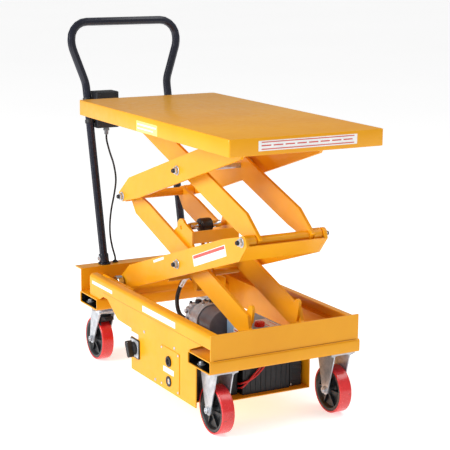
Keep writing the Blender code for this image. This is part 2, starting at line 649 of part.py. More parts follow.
def make_lower_outer_frame(base, paint):
    """Outer arms of the lower stage, with the roller axle, the ram's foot and the panel at the mid joint."""
    axis = pivot("lower_outer_axis", LOWER_CENTRE, base, -ARM_ANGLE)
    reach = ARM_REACH
    outline = arm_outline(0.0080, 0.0180)
    holes = hinge_holes(0.0, reach)
    near, far = (mirrored(side, OUTER_ARM_Y, OUTER_ARM_Y + ARM_PLATE) for _, side in SIDES)
    frame = add("lower_outer_frame", plate([outline, *holes], near), paint, axis)
    axle = BASE_ROLLER_Y[1] + 0.001
    pieces = [plate([outline, *holes], far), rod(PIN_RADIUS, (-reach, -axle, 0), (-reach, axle, 0), 12)]
    foot, stub = RAM_FOOT, (RAM_FOOT[0], -0.0320)
    for _, side in SIDES:
        pieces.append(rod(0.010, (stub[0], side * 0.0310, stub[1]),
                          (stub[0], side * (OUTER_ARM_Y + 0.002), stub[1]), 16))
        lug = [*circle(stub, 0.0140, 6, 0.0, math.pi), *circle(foot, 0.0135, 6, math.pi, math.pi)]
        pieces.append(plate([lug], mirrored(side, 0.0300, 0.0370)))
    pieces.append(rod(0.0065, (foot[0], -0.0350, foot[1]), (foot[0], 0.0350, foot[1]), 12))
    panel = [(0.3935, -0.0477), (0.3947, -0.0499), (0.4517, -0.0175), (0.4505, -0.0153)]
    pieces.append(plate([panel], (-OUTER_ARM_Y - 0.002, OUTER_ARM_Y + 0.002)))
    weld(frame, *pieces)
    return axis


def make_upper_inner_frame(base, paint):
    """Inner arms of the upper stage, from the right mid joint up to the table rollers."""
    axis = pivot("upper_inner_axis", (FIXED_PIN_X, 0, MID_Z), base, ARM_ANGLE)
    reach = ARM_REACH
    outline = shifted(arm_outline(), -reach, flip=True)
    holes = hinge_holes(0.0, -reach)
    near, far = (mirrored(side, INNER_ARM_Y, INNER_ARM_Y + ARM_PLATE) for _, side in SIDES)
    frame = add("upper_inner_frame", plate([outline, *holes], near), paint, axis)
    wide = TABLE_ROLLER_Y[1] + 0.001
    weld(frame, plate([outline, *holes], far), hub(0.0, OUTER_ARM_Y - 0.001),
         rod(PIN_RADIUS, (-2 * reach, -wide, 0), (-2 * reach, wide, 0), 12))
    return axis


def make_upper_outer_frame(base, paint):
    """Outer arms of the upper stage, from the left mid joint up to the table's fixed pivot."""
    axis = pivot("upper_outer_axis", UPPER_CENTRE, base, -ARM_ANGLE)
    reach = ARM_REACH
    outline = arm_outline()
    holes = hinge_holes(0.0, reach, -reach)
    near, far = (mirrored(side, OUTER_ARM_Y, OUTER_ARM_Y + ARM_PLATE) for _, side in SIDES)
    frame = add("upper_outer_frame", plate([outline, *holes], near), paint, axis)
    weld(frame, plate([outline, *holes], far),
         rod(0.0115, (0.300, -OUTER_ARM_Y - 0.002, 0.0125), (0.300, OUTER_ARM_Y + 0.002, 0.0125), 16))
    return axis


def make_shaft(name, place, half_length, steel, parent, tip=0.0195):
    """A through shaft with a washer, a nut and the thread's end at both sides."""
    nut = 0.0135
    shaft = add(name, rod(PIN_RADIUS, (0, -half_length - tip, 0), (0, half_length + tip, 0), 12),
                steel, parent, place)
    ends = []
    for _, side in SIDES:
        for radius, sides, y0, y1 in ((nut + 0.0025, 16, 0.0005, 0.003), (nut, 6, 0.0025, 0.0125)):
            inner, outer = side * (half_length + y0), side * (half_length + y1)
            ends.append(rod(radius, (0, inner, 0), (0, outer, 0), sides))
    weld(shaft, *ends)


def make_shafts(base, steel):
    """The six pivots of the two stages."""
    outer = OUTER_ARM_Y + ARM_PLATE
    make_shaft("base_pivot_shaft", (FIXED_PIN_X, 0, BASE_PIN_Z), 0.1075, steel, base, 0.0135)
    make_shaft("lower_centre_shaft", LOWER_CENTRE, outer, steel, base)
    make_shaft("left_joint_shaft", (ROLLER_PIN_X, 0, MID_Z), outer, steel, base)
    make_shaft("right_joint_shaft", (FIXED_PIN_X, 0, MID_Z), outer, steel, base)
    make_shaft("upper_centre_shaft", UPPER_CENTRE, outer, steel, base)
    make_shaft("table_pivot_shaft", (FIXED_PIN_X, 0, TABLE_PIN_Z), 0.1492, steel, base)


def make_rollers(base, steel):
    """Track rollers at the sliding ends of both stages."""
    sets = (("base", BASE_PIN_Z, BASE_ROLLER_RADIUS, BASE_ROLLER_Y),
            ("table", TABLE_PIN_Z, TABLE_ROLLER_RADIUS, TABLE_ROLLER_Y))
    for level, z, radius, (y0, y1) in sets:
        half = (y1 - y0) / 2 - GAP
        profile = [(radius - 0.0015, half), (radius, half - 0.0015), (radius, -half + 0.0015),
                   (radius - 0.0015, -half), (PIN_RADIUS + GAP, -half), (PIN_RADIUS + GAP, half)]
        for side_name, side in SIDES:
            place = (ROLLER_PIN_X, side * (y0 + y1) / 2, z)
            turned(f"{level}_roller_{side_name}", profile, steel, base, place, 20)


# Ram ----------------------------------------------------------------------------------------------
def in_arm_axes(centre, tilt, place):
    """A point given in an arm's own axes, in the part's axes."""
    s, n = place
    cos, sin = math.cos(tilt), math.sin(tilt)
    return centre + Vector((s * cos + n * sin, 0, -s * sin + n * cos))


def make_ram(base, materials):
    """Single acting ram: an open barrel pinned on the lower outer arms and a rod with its eye."""
    foot = in_arm_axes(LOWER_CENTRE, -ARM_ANGLE, RAM_FOOT)
    head = in_arm_axes(LOWER_CENTRE, ARM_ANGLE, RAM_HEAD)
    along = head - foot
    length = along.length
    lean = math.atan2(along.x, along.z)
    axis = pivot("ram_axis", foot, base, lean)
    bore = RAM_ROD_RADIUS + 0.0006
    barrel_profile = [(0.0, 0.0190), (bore, 0.0190), (bore, RAM_BARREL_LENGTH),
                      (RAM_BARREL_RADIUS, RAM_BARREL_LENGTH), (RAM_BARREL_RADIUS, 0.0130),
                      (RAM_BARREL_RADIUS - 0.003, 0.0100), (0.0, 0.0100)]
    barrel = turned("ram_barrel", barrel_profile, materials["paint"], axis, (0, 0, 0), 20, (0, 0, 0))
    eye = plate([circle((0, 0), 0.0150, 14), circle((0, 0), 0.0068, 12)], (-0.0290, 0.0290))
    port = rod(0.0080, (-0.012, -0.018, 0.0185), (-0.0620, -0.018, 0.0185), 12)
    weld(barrel, eye, port)
    slide = pivot("ram_slide", (0, 0, length), axis)
    tail = 0.0800 - length
    piston_rod = add("ram_rod", rod(RAM_ROD_RADIUS, (0, 0, tail), (0, 0, -RAM_EYE_BORE - 0.002), 16),
                     materials["chrome"], slide)
    ring = plate([circle((0, 0), 0.0235, 20), circle((0, 0), RAM_EYE_BORE, 20)], (-0.0170, 0.0170))
    weld(piston_rod, ring)
    add("hydraulic_hose", tube(smooth_route(HOSE_ROUTE, 4), HOSE_RADIUS), materials["rubber"], base)


# Platform -----------------------------------------------------------------------------------------
def make_platform(base, paint):
    """A lipped plate with the table tracks for the rollers and the ears of its fixed pivot."""
    x0, x1 = PLATFORM_X
    half = PLATFORM_HALF_WIDTH
    top = PLATFORM_TOP
    axis = pivot("platform_axis", (FIXED_PIN_X, 0, TABLE_PIN_Z), base)
    dx, dz = -FIXED_PIN_X, -TABLE_PIN_Z
    outline = rounded_box_outline((x0 + dx, -half), (x1 + dx, half), 0.006, 3)
    deck = add("platform", plate([outline], (top - PLATFORM_LIP + dz, top + dz), "XY"), paint, axis)
    soften(deck, 0.0025, 2)
    cut(deck, box((x0 + PLATE + dx, -half + PLATE, top - PLATFORM_LIP - 0.010 + dz),
                  (x1 - PLATE + dx, half - PLATE, top - PLATE + dz)))
    under = top - PLATE + dz + 0.001
    pieces = []
    for _, side in SIDES:
        lip = TABLE_ROLLER_Y[1]
        low = TABLE_PIN_Z - TABLE_ROLLER_RADIUS - 0.0040 + dz
        profile = [(lip + 0.003, under), (lip + 0.006, under), (lip + 0.006, low - 0.003),
                   (TABLE_ROLLER_Y[0] + 0.006, low - 0.003), (TABLE_ROLLER_Y[0] + 0.006, low),
                   (lip + 0.003, low)]
        profile = [(side * across, up) for across, up in profile]
        pieces.append(plate([profile], (-0.398 + dx, -0.185 + dx), "YZ"))
        ear = [(-0.026, under), *circle((0, 0), 0.0170, 7, -math.pi, math.pi), (0.026, under)]
        pieces.append(plate([ear, circle((0, 0), PIN_RADIUS + GAP, 12)], mirrored(side, 0.1410, 0.1490)))
    weld(deck, *pieces)


def build():
    clear_scene()
    materials = {
        "paint": new_material("yellow_paint", YELLOW, 0.35),
        "black": new_material("black_plastic", BLACK, 0.5),
        "gloss_black": new_material("black_enamel", BLACK, 0.2),
        "zinc": new_material("zinc_plate", ZINC, 0.35, 1.0),
        "steel": new_material("plain_steel", ZINC, 0.3, 1.0),
        "chrome": new_material("chrome", ZINC, 0.1, 1.0),
        "grey": new_material("grey_metal", GREY, 0.45, 0.5),
        "blue_grey": new_material("tank_paint", BLUE_GREY, 0.4),
        "rubber": new_material("hose_rubber", BLACK, 0.6),
        "tread": new_material("red_polyurethane", RED, 0.3),
        "red": new_material("red_plastic", RED, 0.4),
    }
    paint, steel = materials["paint"], materials["steel"]
    base = pivot("lift_table", (0, PART_Y, 0))
    make_side_rails(base, paint)
    make_end_beams(base, paint)
    make_roller_tracks(base, paint)
    make_base_pivot_bracket(base, paint)
    make_rigid_casters(base, materials)
    make_swivel_casters(base, materials)
    make_battery_box(base, paint)
    make_batteries(base, materials)
    make_panel_fittings(base, materials)
    make_power_unit(base, materials)
    make_handle(base, materials)
    make_controls(base, materials)
    make_lower_inner_frame(base, paint)
    make_lower_outer_frame(base, paint)
    make_upper_inner_frame(base, paint)
    make_upper_outer_frame(base, paint)
    make_shafts(base, steel)
    make_rollers(base, steel)
    make_ram(base, materials)
    make_platform(base, paint)
    bpy.context.view_layer.update()


build()
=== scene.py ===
"""The scissor lift table's visual model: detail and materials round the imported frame, floor, light, camera."""

import math
import random

import bmesh
import bpy
from mathutils import Matrix, Vector


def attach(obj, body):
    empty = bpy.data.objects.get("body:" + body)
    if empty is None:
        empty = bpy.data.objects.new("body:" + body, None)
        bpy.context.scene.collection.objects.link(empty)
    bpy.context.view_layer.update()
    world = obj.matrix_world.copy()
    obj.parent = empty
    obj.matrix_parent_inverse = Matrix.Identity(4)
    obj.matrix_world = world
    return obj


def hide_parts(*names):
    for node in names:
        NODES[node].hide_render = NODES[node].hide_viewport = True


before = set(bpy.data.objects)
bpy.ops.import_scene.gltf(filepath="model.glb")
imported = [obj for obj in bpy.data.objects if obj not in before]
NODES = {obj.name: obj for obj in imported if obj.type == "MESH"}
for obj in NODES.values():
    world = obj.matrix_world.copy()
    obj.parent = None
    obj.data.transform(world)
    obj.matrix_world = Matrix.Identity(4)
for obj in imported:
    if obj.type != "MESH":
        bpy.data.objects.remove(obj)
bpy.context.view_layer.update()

MID = 0.01175                    # sideways place of the object's middle plane
SIDES = (("near", -1), ("far", 1))
ARM_ANGLE = math.radians(20.25)
REACH = 0.42835
FIXED_X = 0.4805
PIN_Z = 0.272
RISE = REACH * math.sin(ARM_ANGLE)
RUN = REACH * math.cos(ARM_ANGLE)
CENTRE_X = FIXED_X - RUN
SLIDING_X = FIXED_X - 2 * RUN
LEVELS = [PIN_Z + step * RISE for step in range(5)]
WHEEL_RADIUS = 0.0735
WHEEL_Y = 0.2025
FRONT_WHEEL_X = 0.458
SWIVEL_X = -0.343
REAR_WHEEL_X = -0.376
BRAKE_PIN = (-0.326, 0.1627)      # x and z
ARM_FACE_Y = 0.1377               # outer face of the outer arms
RAIL_FACE_Y = 0.2494              # outer face of the side rails
PANEL_Y = -0.2497                 # near side plate with its cover
SHAFT_RADIUS = 0.008
SWITCH_AT = (0.009, 0.145)        # x and z
SOCKET_AT = (0.245, 0.166)
GAUGE_AT = (0.245, 0.103)
BOX_FLOOR_Z = 0.0723
BEAM_Z = (0.1983, 0.2373)
BEAM_WALL = 0.0035
BEAM_DEPTH = 0.1394
FRONT_BEAM_X = 0.5155
REAR_BEAM_X = -0.4127
HANDLE_FOOT = (-0.4354, 0.155, 0.3150)
HANDLE_LEAN = Vector((-0.1396, 0, 0.608)).normalized()
HANDLE_SLOPE = -0.1396 / 0.6044   # x run for each metre of height
UP, NEAR = (0, 0, 1), (0, -1, 0)  # NEAR is the way out of the photographed long side
rng = random.Random(7)


def P(x, y, z):
    """A point of the object, y counted from its middle plane."""
    return Vector((x, y + MID, z))


# --- Camera ---
def make_camera():
    azimuth, elevation, roll = (math.radians(v) for v in (60.8762, 12.0601, 0.4042))
    forward = Vector((-math.sin(azimuth) * math.cos(elevation), math.cos(azimuth) * math.cos(elevation),
                      -math.sin(elevation)))
    right = Vector((math.cos(azimuth), math.sin(azimuth), 0))
    up = right.cross(forward)
    rolled_right = math.cos(roll) * right + math.sin(roll) * up
    rolled_up = -math.sin(roll) * right + math.cos(roll) * up
    camera = bpy.data.objects.new("camera", bpy.data.cameras.new("camera"))
    bpy.context.scene.collection.objects.link(camera)
    turn = Matrix((rolled_right, rolled_up, -forward)).transposed().to_4x4()
    camera.matrix_world = Matrix.Translation(P(3.8696, -2.0864, 1.4378)) @ turn
    camera.data.sensor_width = 36
    camera.data.lens = 112.2
    camera.data.shift_x = 0.0042
    camera.data.shift_y = 0.0130
    bpy.context.scene.camera = camera


make_camera()


# --- Materials ---
def srgb(red, green, blue):
    """A linear colour from display values."""
    def linear(value):
        value /= 255
        return value / 12.92 if value <= 0.04045 else ((value + 0.055) / 1.055) ** 2.4
    return (linear(red), linear(green), linear(blue), 1)


def shaded(name):
    material = bpy.data.materials.new(name)
    material.use_nodes = True
    tree = material.node_tree
    shader = tree.nodes["Principled BSDF"]
    place = tree.nodes.new("ShaderNodeTexCoord")
    return material, tree, shader, place.outputs["Object"]


def noise(tree, place, scale, detail=4.0, stretch=None):
    """A noise in object space; stretch scales its axes."""
    if stretch:
        mapping = tree.nodes.new("ShaderNodeMapping")
        mapping.inputs["Scale"].default_value = stretch
        tree.links.new(place, mapping.inputs["Vector"])
        place = mapping.outputs["Vector"]
    node = tree.nodes.new("ShaderNodeTexNoise")
    node.inputs["Scale"].default_value = scale
    node.inputs["Detail"].default_value = detail
    tree.links.new(place, node.inputs["Vector"])
    return node.outputs["Fac"]


def between(tree, value, low, high, start=0.3, end=0.7):
    """Maps a value onto a range."""
    node = tree.nodes.new("ShaderNodeMapRange")
    for name, number in (("From Min", start), ("From Max", end), ("To Min", low), ("To Max", high)):
        node.inputs[name].default_value = number
    tree.links.new(value, node.inputs["Value"])
    return node.outputs["Result"]


def mixed(tree, factor, first, second):
    """A colour between two, each a colour or a socket."""
    node = tree.nodes.new("ShaderNodeMix")
    node.data_type = "RGBA"
    tree.links.new(factor, node.inputs["Factor"])
    for socket, colour in ((node.inputs[6], first), (node.inputs[7], second)):
        if isinstance(colour, tuple):
            socket.default_value = colour
        else:
            tree.links.new(colour, socket)
    return node.outputs[2]


def bumped(tree, shader, height, strength, distance):
    node = tree.nodes.new("ShaderNodeBump")
    node.inputs["Strength"].default_value = strength
    node.inputs["Distance"].default_value = distance
    tree.links.new(height, node.inputs["Height"])
    tree.links.new(node.outputs["Normal"], shader.inputs["Normal"])


def surface(name, dark, light, rough, metallic=0.0, patch=7.0, grain=900.0, grain_strength=0.15,
            grain_depth=0.0004, coat=0.0, stretch=None, marks=None, specular=0.5):
    """A worked surface: colour patches, uneven gloss, a fine grain and, where given, darker marks."""
    material, tree, shader, place = shaded(name)
    cloud = noise(tree, place, patch, 5.0, stretch)
    colour = mixed(tree, between(tree, cloud, 0, 1), srgb(*dark), srgb(*light))
    if marks:
        mark_colour, mark_scale, threshold = marks
        spots = noise(tree, place, mark_scale, 8.0)
        colour = mixed(tree, between(tree, spots, 0, 0.75, threshold, threshold + 0.05), colour,
                       srgb(*mark_colour))
    tree.links.new(colour, shader.inputs["Base Color"])
    smear = noise(tree, place, patch * 9, 3.0, stretch)
    tree.links.new(between(tree, smear, rough[0], rough[1]), shader.inputs["Roughness"])
    shader.inputs["Metallic"].default_value = metallic
    shader.inputs["Coat Weight"].default_value = coat
    shader.inputs["Coat Roughness"].default_value = 0.12
    shader.inputs["Specular IOR Level"].default_value = specular
    bumped(tree, shader, noise(tree, place, grain, 2.0, stretch), grain_strength, grain_depth)
    return material


def make_materials():
    """Every look of the object, by the name that the pieces use."""
    return {
        "paint": surface("powder_coat", (233, 158, 16), (241, 170, 22), (0.30, 0.42), patch=5.0, grain=650,
            grain_strength=0.10, grain_depth=0.0005, coat=0.12, marks=((214, 138, 18), 30.0, 0.74), specular=0.28),
        # a darker copy of the paint for weld beads: painted shade in the grooves along the joints
        "weld_groove_shade": surface("powder_coat_weld_groove_shade", (176, 112, 14), (190, 122, 16), (0.40, 0.50), patch=9),
        "enamel": surface("black_enamel", (20, 22, 34), (28, 31, 46), (0.20, 0.32), patch=8, grain=500,
            grain_strength=0.06, coat=0.15, specular=0.35),
        "plastic": surface("black_plastic", (13, 15, 21), (22, 24, 31), (0.42, 0.58), patch=20, grain=1800,
            grain_strength=0.35, grain_depth=0.0002),
        "zinc": surface("zinc_plate", (172, 178, 186), (212, 216, 222), (0.26, 0.42), 0.6, patch=55, grain=420,
            grain_strength=0.10, marks=((140, 142, 140), 90.0, 0.66)),
        "steel": surface("plain_steel", (168, 170, 172), (205, 206, 208), (0.18, 0.32), 1.0, patch=80, grain=700,
            grain_strength=0.12),
        "chrome": surface("chrome", (205, 207, 210), (222, 224, 227), (0.04, 0.10), 1.0, patch=30, grain=1500,
            grain_strength=0.03, stretch=(1, 1, 0.15)),
        "motor": surface("motor_paint", (84, 80, 84), (112, 107, 110), (0.30, 0.45), patch=18, grain=500,
            grain_strength=0.2, coat=0.2),
        "alloy": surface("cast_alloy", (172, 176, 180), (206, 209, 212), (0.28, 0.44), 0.55, patch=60, grain=350,
            grain_strength=0.35, grain_depth=0.0006),
        "tank": surface("tank_paint", (128, 160, 190), (150, 182, 210), (0.28, 0.42), patch=9, grain=600,
            grain_strength=0.12),
        "red": surface("red_plastic", (196, 22, 28), (218, 34, 38), (0.22, 0.34), patch=25, grain_strength=0.10,
            coat=0.3),
        "tread": surface("red_polyurethane", (206, 30, 34), (226, 46, 48), (0.16, 0.30), patch=22, grain=600,
            grain_strength=0.08, coat=0.4, marks=((168, 30, 30), 60.0, 0.66)),
        "core": surface("wheel_core", (18, 19, 22), (34, 36, 40), (0.25, 0.42), patch=30, grain=500,
            grain_strength=0.25, grain_depth=0.0005),
        "rubber": surface("hose_rubber", (20, 20, 21), (34, 34, 36), (0.50, 0.68), patch=40, grain=1400,
            grain_strength=0.35, grain_depth=0.0003),
        "grey": surface("grey_plastic", (120, 124, 130), (140, 144, 150), (0.40, 0.55), patch=40, grain=1200,
            grain_strength=0.2),
        # blackened steel for threads, nuts and screws; also the dark sheets inside the caster tubes, which are
        # painted shade
        "dark_metal_and_shade": surface("blackened_steel_and_shade", (40, 40, 42), (62, 62, 64), (0.30, 0.45), 0.9, patch=60, grain=700,
            grain_strength=0.2),
        "film": surface("label_film", (238, 238, 236), (248, 248, 246), (0.22, 0.32), patch=30,
            grain_strength=0.03),
        "red_film": surface("label_red", (205, 70, 60), (216, 84, 72), (0.25, 0.35), patch=30, grain_strength=0.03),
        "cream_film": surface("label_cream", (250, 224, 120), (252, 232, 140), (0.25, 0.35), patch=30,
            grain_strength=0.03),
        "silver_film": surface("switch_plate_face", (196, 200, 206), (214, 218, 224), (0.25, 0.38), 0.4, patch=30,
            grain_strength=0.05),
        "red_wire": surface("red_wire", (190, 24, 26), (206, 36, 36), (0.30, 0.42), patch=60, grain_strength=0.1),
    }


M = make_materials()

NODE_LOOK = {
    "handle_tube": "enamel", "pump_motor": "motor", "valve_block": "alloy", "oil_tank": "tank",
    "oil_cap": "red", "hydraulic_hose": "rubber", "control_cable": "rubber", "cable_gland": "grey",
    "ram_rod": "chrome",
}
PREFIX_LOOK = (("wheel_tread", "tread"), ("wheel_core", "core"), ("rigid_fork", "zinc"), ("swivel", "zinc"),
               ("base_roller", "steel"), ("table_roller", "steel"), ("brake_pedal", "plastic"),
               ("battery_box", "paint"), ("battery", "plastic"), ("control_box", "plastic"),
               ("raise_button", "plastic"), ("lower_button", "plastic"), ("switch", "plastic"),
               ("charge_socket", "plastic"))


def look_of(node):
    if node in NODE_LOOK:
        return NODE_LOOK[node]
    if node.endswith("_shaft"):
        return "steel"
    for prefix, look in PREFIX_LOOK:
        if node.startswith(prefix):
            return look
    return "paint"


def tidy_group():
    """A modifier that joins split vertices and shades the surface smooth, ready for a bevel."""
    group = bpy.data.node_groups.new("joined_and_smooth", "GeometryNodeTree")
    group.interface.new_socket("Geometry", in_out="INPUT", socket_type="NodeSocketGeometry")
    group.interface.new_socket("Geometry", in_out="OUTPUT", socket_type="NodeSocketGeometry")
    nodes, links = group.nodes, group.links
    source = nodes.new("NodeGroupInput")
    drop = nodes.new("GeometryNodeRemoveAttribute")
    drop.inputs["Name"].default_value = "custom_normal"
    merge = nodes.new("GeometryNodeMergeByDistance")
    merge.inputs["Distance"].default_value = 0.00002
    smooth = nodes.new("GeometryNodeSetShadeSmooth")
    smooth.inputs["Shade Smooth"].default_value = True
    target = nodes.new("NodeGroupOutput")
    links.new(source.outputs[0], drop.inputs[0])
    links.new(drop.outputs[0], merge.inputs[0])
    links.new(merge.outputs[0], smooth.inputs[0])
    links.new(smooth.outputs[0], target.inputs[0])
    return group


TIDY = tidy_group()


def finish_edges(obj, width, segments=2, tidy=True):
    """Rounded edges with flat faces left flat."""
    if tidy:
        modifier = obj.modifiers.new("join", "NODES")
        modifier.node_group = TIDY
    bevel = obj.modifiers.new("edges", "BEVEL")
    bevel.width = width
    bevel.segments = segments
    bevel.limit_method = "ANGLE"
    bevel.angle_limit = math.radians(32)
    bevel.harden_normals = True
    return obj


def dress_frame():
    for name, node in NODES.items():
        look = M[look_of(name)]
        for material_slot in node.material_slots:
            material_slot.material = look
        finish_edges(node, 0.0007 if look_of(name) == "paint" else 0.0005)


dress_frame()


# --- Piece building ---
def add(name, mesh, look, body, bevel=0.0, smooth_angle=35):
    """A piece that rides on a body and takes one of the object's looks."""
    piece = bpy.data.objects.new(name, mesh)
    bpy.context.scene.collection.objects.link(piece)
    mesh.materials.append(M[look])
    mesh.shade_smooth()
    if bevel:
        finish_edges(piece, bevel, tidy=False)
    else:
        mesh.set_sharp_from_angle(angle=math.radians(smooth_angle))
    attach(piece, body)
    return piece


def to_mesh(work, name="piece"):
    bmesh.ops.recalc_face_normals(work, faces=work.faces)
    mesh = bpy.data.meshes.new(name)
    work.to_mesh(mesh)
    work.free()
    return mesh


def turn_to(axis, place):
    """The matrix that takes +Z to an axis at a place."""
    return Matrix.Translation(place) @ Vector(UP).rotation_difference(Vector(axis)).to_matrix().to_4x4()


def circle(radius, sides):
    return [(radius * math.cos(2 * math.pi * k / sides), radius * math.sin(2 * math.pi * k / sides))
            for k in range(sides)]


def add_lathe(work, profile, place, axis, sides=32):
    """Adds a closed turned body: a profile of (radius, height) from the axis round to the axis or closed."""
    matrix = turn_to(axis, place)
    closed = profile[0][0] > 1e-6
    rings = []
    for radius, height in profile:
        if radius < 1e-6:
            rings.append([work.verts.new(matrix @ Vector((0, 0, height)))])
        else:
            rings.append([work.verts.new(matrix @ Vector((a, b, height))) for a, b in circle(radius, sides)])
    for first, second in zip(rings, rings[1:] + (rings[:1] if closed else [])):
        for k in range(sides):
            n = (k + 1) % sides
            if len(first) == 1:
                work.faces.new((first[0], second[n], second[k]))
            elif len(second) == 1:
                work.faces.new((first[k], first[n], second[0]))
            else:
                work.faces.new((first[k], first[n], second[n], second[k]))


def skin(work, rings, closed=False):
    """Quads between neighbouring rings of vertices, and from the last back to the first when closed."""
    count = len(rings[0])
    for first, second in zip(rings, rings[1:] + (rings[:1] if closed else [])):
        for k in range(count):
            n = (k + 1) % count
            work.faces.new((first[k], first[n], second[n], second[k]))


def add_slab(work, low, high):
    """Adds a solid between two matching rings of points."""
    rings = [[work.verts.new(point) for point in ring] for ring in (low, high)]
    work.faces.new(rings[0][::-1])
    work.faces.new(rings[1])
    skin(work, rings)


def add_prism(work, outline, low, high, place=Vector((0, 0, 0)), axis=UP, spin=0.0):
    """Adds a straight prism of a flat outline between two heights along an axis."""
    matrix = turn_to(axis, place) @ Matrix.Rotation(spin, 4, "Z")
    add_slab(work, *([matrix @ Vector((a, b, level)) for a, b in outline] for level in (low, high)))


def knurled_outline(sides, radius, low, every):
    """A circle whose every so-many-th point dips to a lower radius."""
    crests, dips = circle(radius, sides), circle(low, sides)
    return [crests[k] if k % every else dips[k] for k in range(sides)]


def add_box(work, low, high):
    low, high = Vector(low), Vector(high)
    add_prism(work, [(low.x, low.y), (high.x, low.y), (high.x, high.y), (low.x, high.y)], low.z, high.z)


def add_hex(work, place, axis, across, height, spin=0.0, crown=0.10):
    """A hexagon with chamfered corners: each side's corners drop towards both faces."""
    radius = across / math.sqrt(3)
    matrix = turn_to(axis, place) @ Matrix.Rotation(spin, 4, "Z")
    rings = []
    drop = height * crown
    for height_at, scale in ((0.0, 0.90), (drop, 1.0), (height - drop, 1.0), (height, 0.90)):
        rings.append([work.verts.new(matrix @ Vector((a, b, height_at))) for a, b in circle(radius * scale, 6)])
    work.faces.new(rings[0][::-1])
    work.faces.new(rings[-1])
    skin(work, rings)


def build(name, look, body, *solids, bevel=0.0, smooth_angle=35):
    """A piece made of one or more solids, each an adding function with what it takes."""
    work = bmesh.new()
    for adding, *arguments in solids:
        adding(work, *arguments)
    return add(name, to_mesh(work), look, body, bevel, smooth_angle)


def thread_profile(radius, start, end, pitch=0.00175, depth=0.0008):
    """The saw-edged side of a thread, from start up to end, with a chamfered tip."""
    points = []
    height = start
    while height + pitch < end - 0.001:
        points += [(radius - depth, height), (radius, height + pitch / 2)]
        height += pitch
    points += [(radius - depth, height), (radius - depth, end - 0.0008), (radius - depth - 0.0008, end)]
    return points


def tube_mesh(points, radius, sides=12, name="tube"):
    """A round bar along points, with parallel transported rings and closed ends."""
    points = [Vector(p) for p in points]
    work = bmesh.new()
    tangents = []
    for k, point in enumerate(points):
        before, after = points[max(k - 1, 0)], points[min(k + 1, len(points) - 1)]
        tangents.append((after - before).normalized())
    normal = tangents[0].orthogonal().normalized()
    rings = []
    for k, (point, tangent) in enumerate(zip(points, tangents)):
        if k:
            normal = (tangents[k - 1].rotation_difference(tangent)) @ normal
        normal = (normal - tangent * normal.dot(tangent)).normalized()
        side = tangent.cross(normal)
        radius_here = radius[k] if isinstance(radius, (list, tuple)) else radius
        rings.append([work.verts.new(point + a * normal + b * side) for a, b in circle(radius_here, sides)])
    skin(work, rings)
    work.faces.new(rings[0][::-1])
    work.faces.new(rings[-1])
    return to_mesh(work, name)


def smooth_route(points, per_span=6):
    route = []
    padded = [points[0], *points, points[-1]]
    for before, start, end, after in zip(padded, padded[1:], padded[2:], padded[3:]):
        p0, p1, p2, p3 = (Vector(point) for point in (before, start, end, after))
        for step in range(per_span):
            t = step / per_span
            route.append(0.5 * (2 * p1 + (p2 - p0) * t + (2 * p0 - 5 * p1 + 4 * p2 - p3) * t ** 2
                                + (3 * p1 - p0 - 3 * p2 + p3) * t ** 3))
    route.append(Vector(points[-1]))
    return route


def fastener(name, place, axis, body, across=0.013, look="zinc", head=0.0055, washer=True, socket=False):
    """The head of a hexagon bolt or a socket cap screw, on a washer where asked."""
    work = bmesh.new()
    axis = Vector(axis)
    base = Vector(place)
    if washer:
        add_lathe(work, [(0, 0.0), (across * 0.92, 0.0), (across * 0.98, 0.0004), (across * 0.98, 0.0013),
                         (across * 0.90, 0.0017), (0, 0.0017)], base, axis, 24)
        base = base + axis * 0.0012
    if socket:
        r = across / 2
        add_lathe(work, [(0, 0), (r, 0), (r, head * 0.75), (r * 0.86, head), (r * 0.5, head), (r * 0.45, head * 0.4),
                         (0, head * 0.4)], base, axis, 20)
    else:
        add_hex(work, base, axis, across, head, rng.uniform(0, 1.0), 0.14)
        add_lathe(work, [(0, head - 0.0005), (across * 0.36, head - 0.0005), (across * 0.33, head + 0.0006),
                         (0, head + 0.0008)], base, axis, 16)
    return add(name, to_mesh(work), look, body)


def screw(name, place, axis, body, radius=0.0042, look="zinc"):
    """A domed screw with a small round recess in its crown."""
    dome = [(0, 0), (radius, 0), (radius, 0.0006), (radius * 0.85, 0.0018), (radius * 0.55, 0.0025),
            (radius * 0.18, 0.0027), (radius * 0.12, 0.0012), (0, 0.0010)]
    return build(name, look, body, (add_lathe, dome, Vector(place), axis, 20))


def label(name, corner, across, up, out, body, look="film", bars=(), thickness=0.00025):
    """A film label from its corner along two directions, with plain coloured bars on it."""
    corner, across, up, out = Vector(corner), Vector(across), Vector(up), Vector(out).normalized()

    def patch(a0, a1, b0, b1, low, high, patch_name, patch_look):
        flat = [corner + across * a + up * b for a, b in ((a0, b0), (a1, b0), (a1, b1), (a0, b1))]
        build(patch_name, patch_look, body, (add_slab, *([point + out * level for point in flat]
                                                         for level in (low, high))))

    patch(0, 1, 0, 1, 0.00005, thickness, name, look)
    for index, (a0, a1, b0, b1, bar_look) in enumerate(bars):
        patch(a0, a1, b0, b1, thickness, thickness + 0.00012, f"{name}_bar_{index}", bar_look)


def along_arm(centre_x, centre_z, lean, s, n, y):
    """A point in an arm's own axes; lean is +1 for inner arms and -1 for outer arms."""
    angle = lean * ARM_ANGLE
    return P(centre_x + s * math.cos(angle) + n * math.sin(angle), y,
             centre_z - s * math.sin(angle) + n * math.cos(angle))


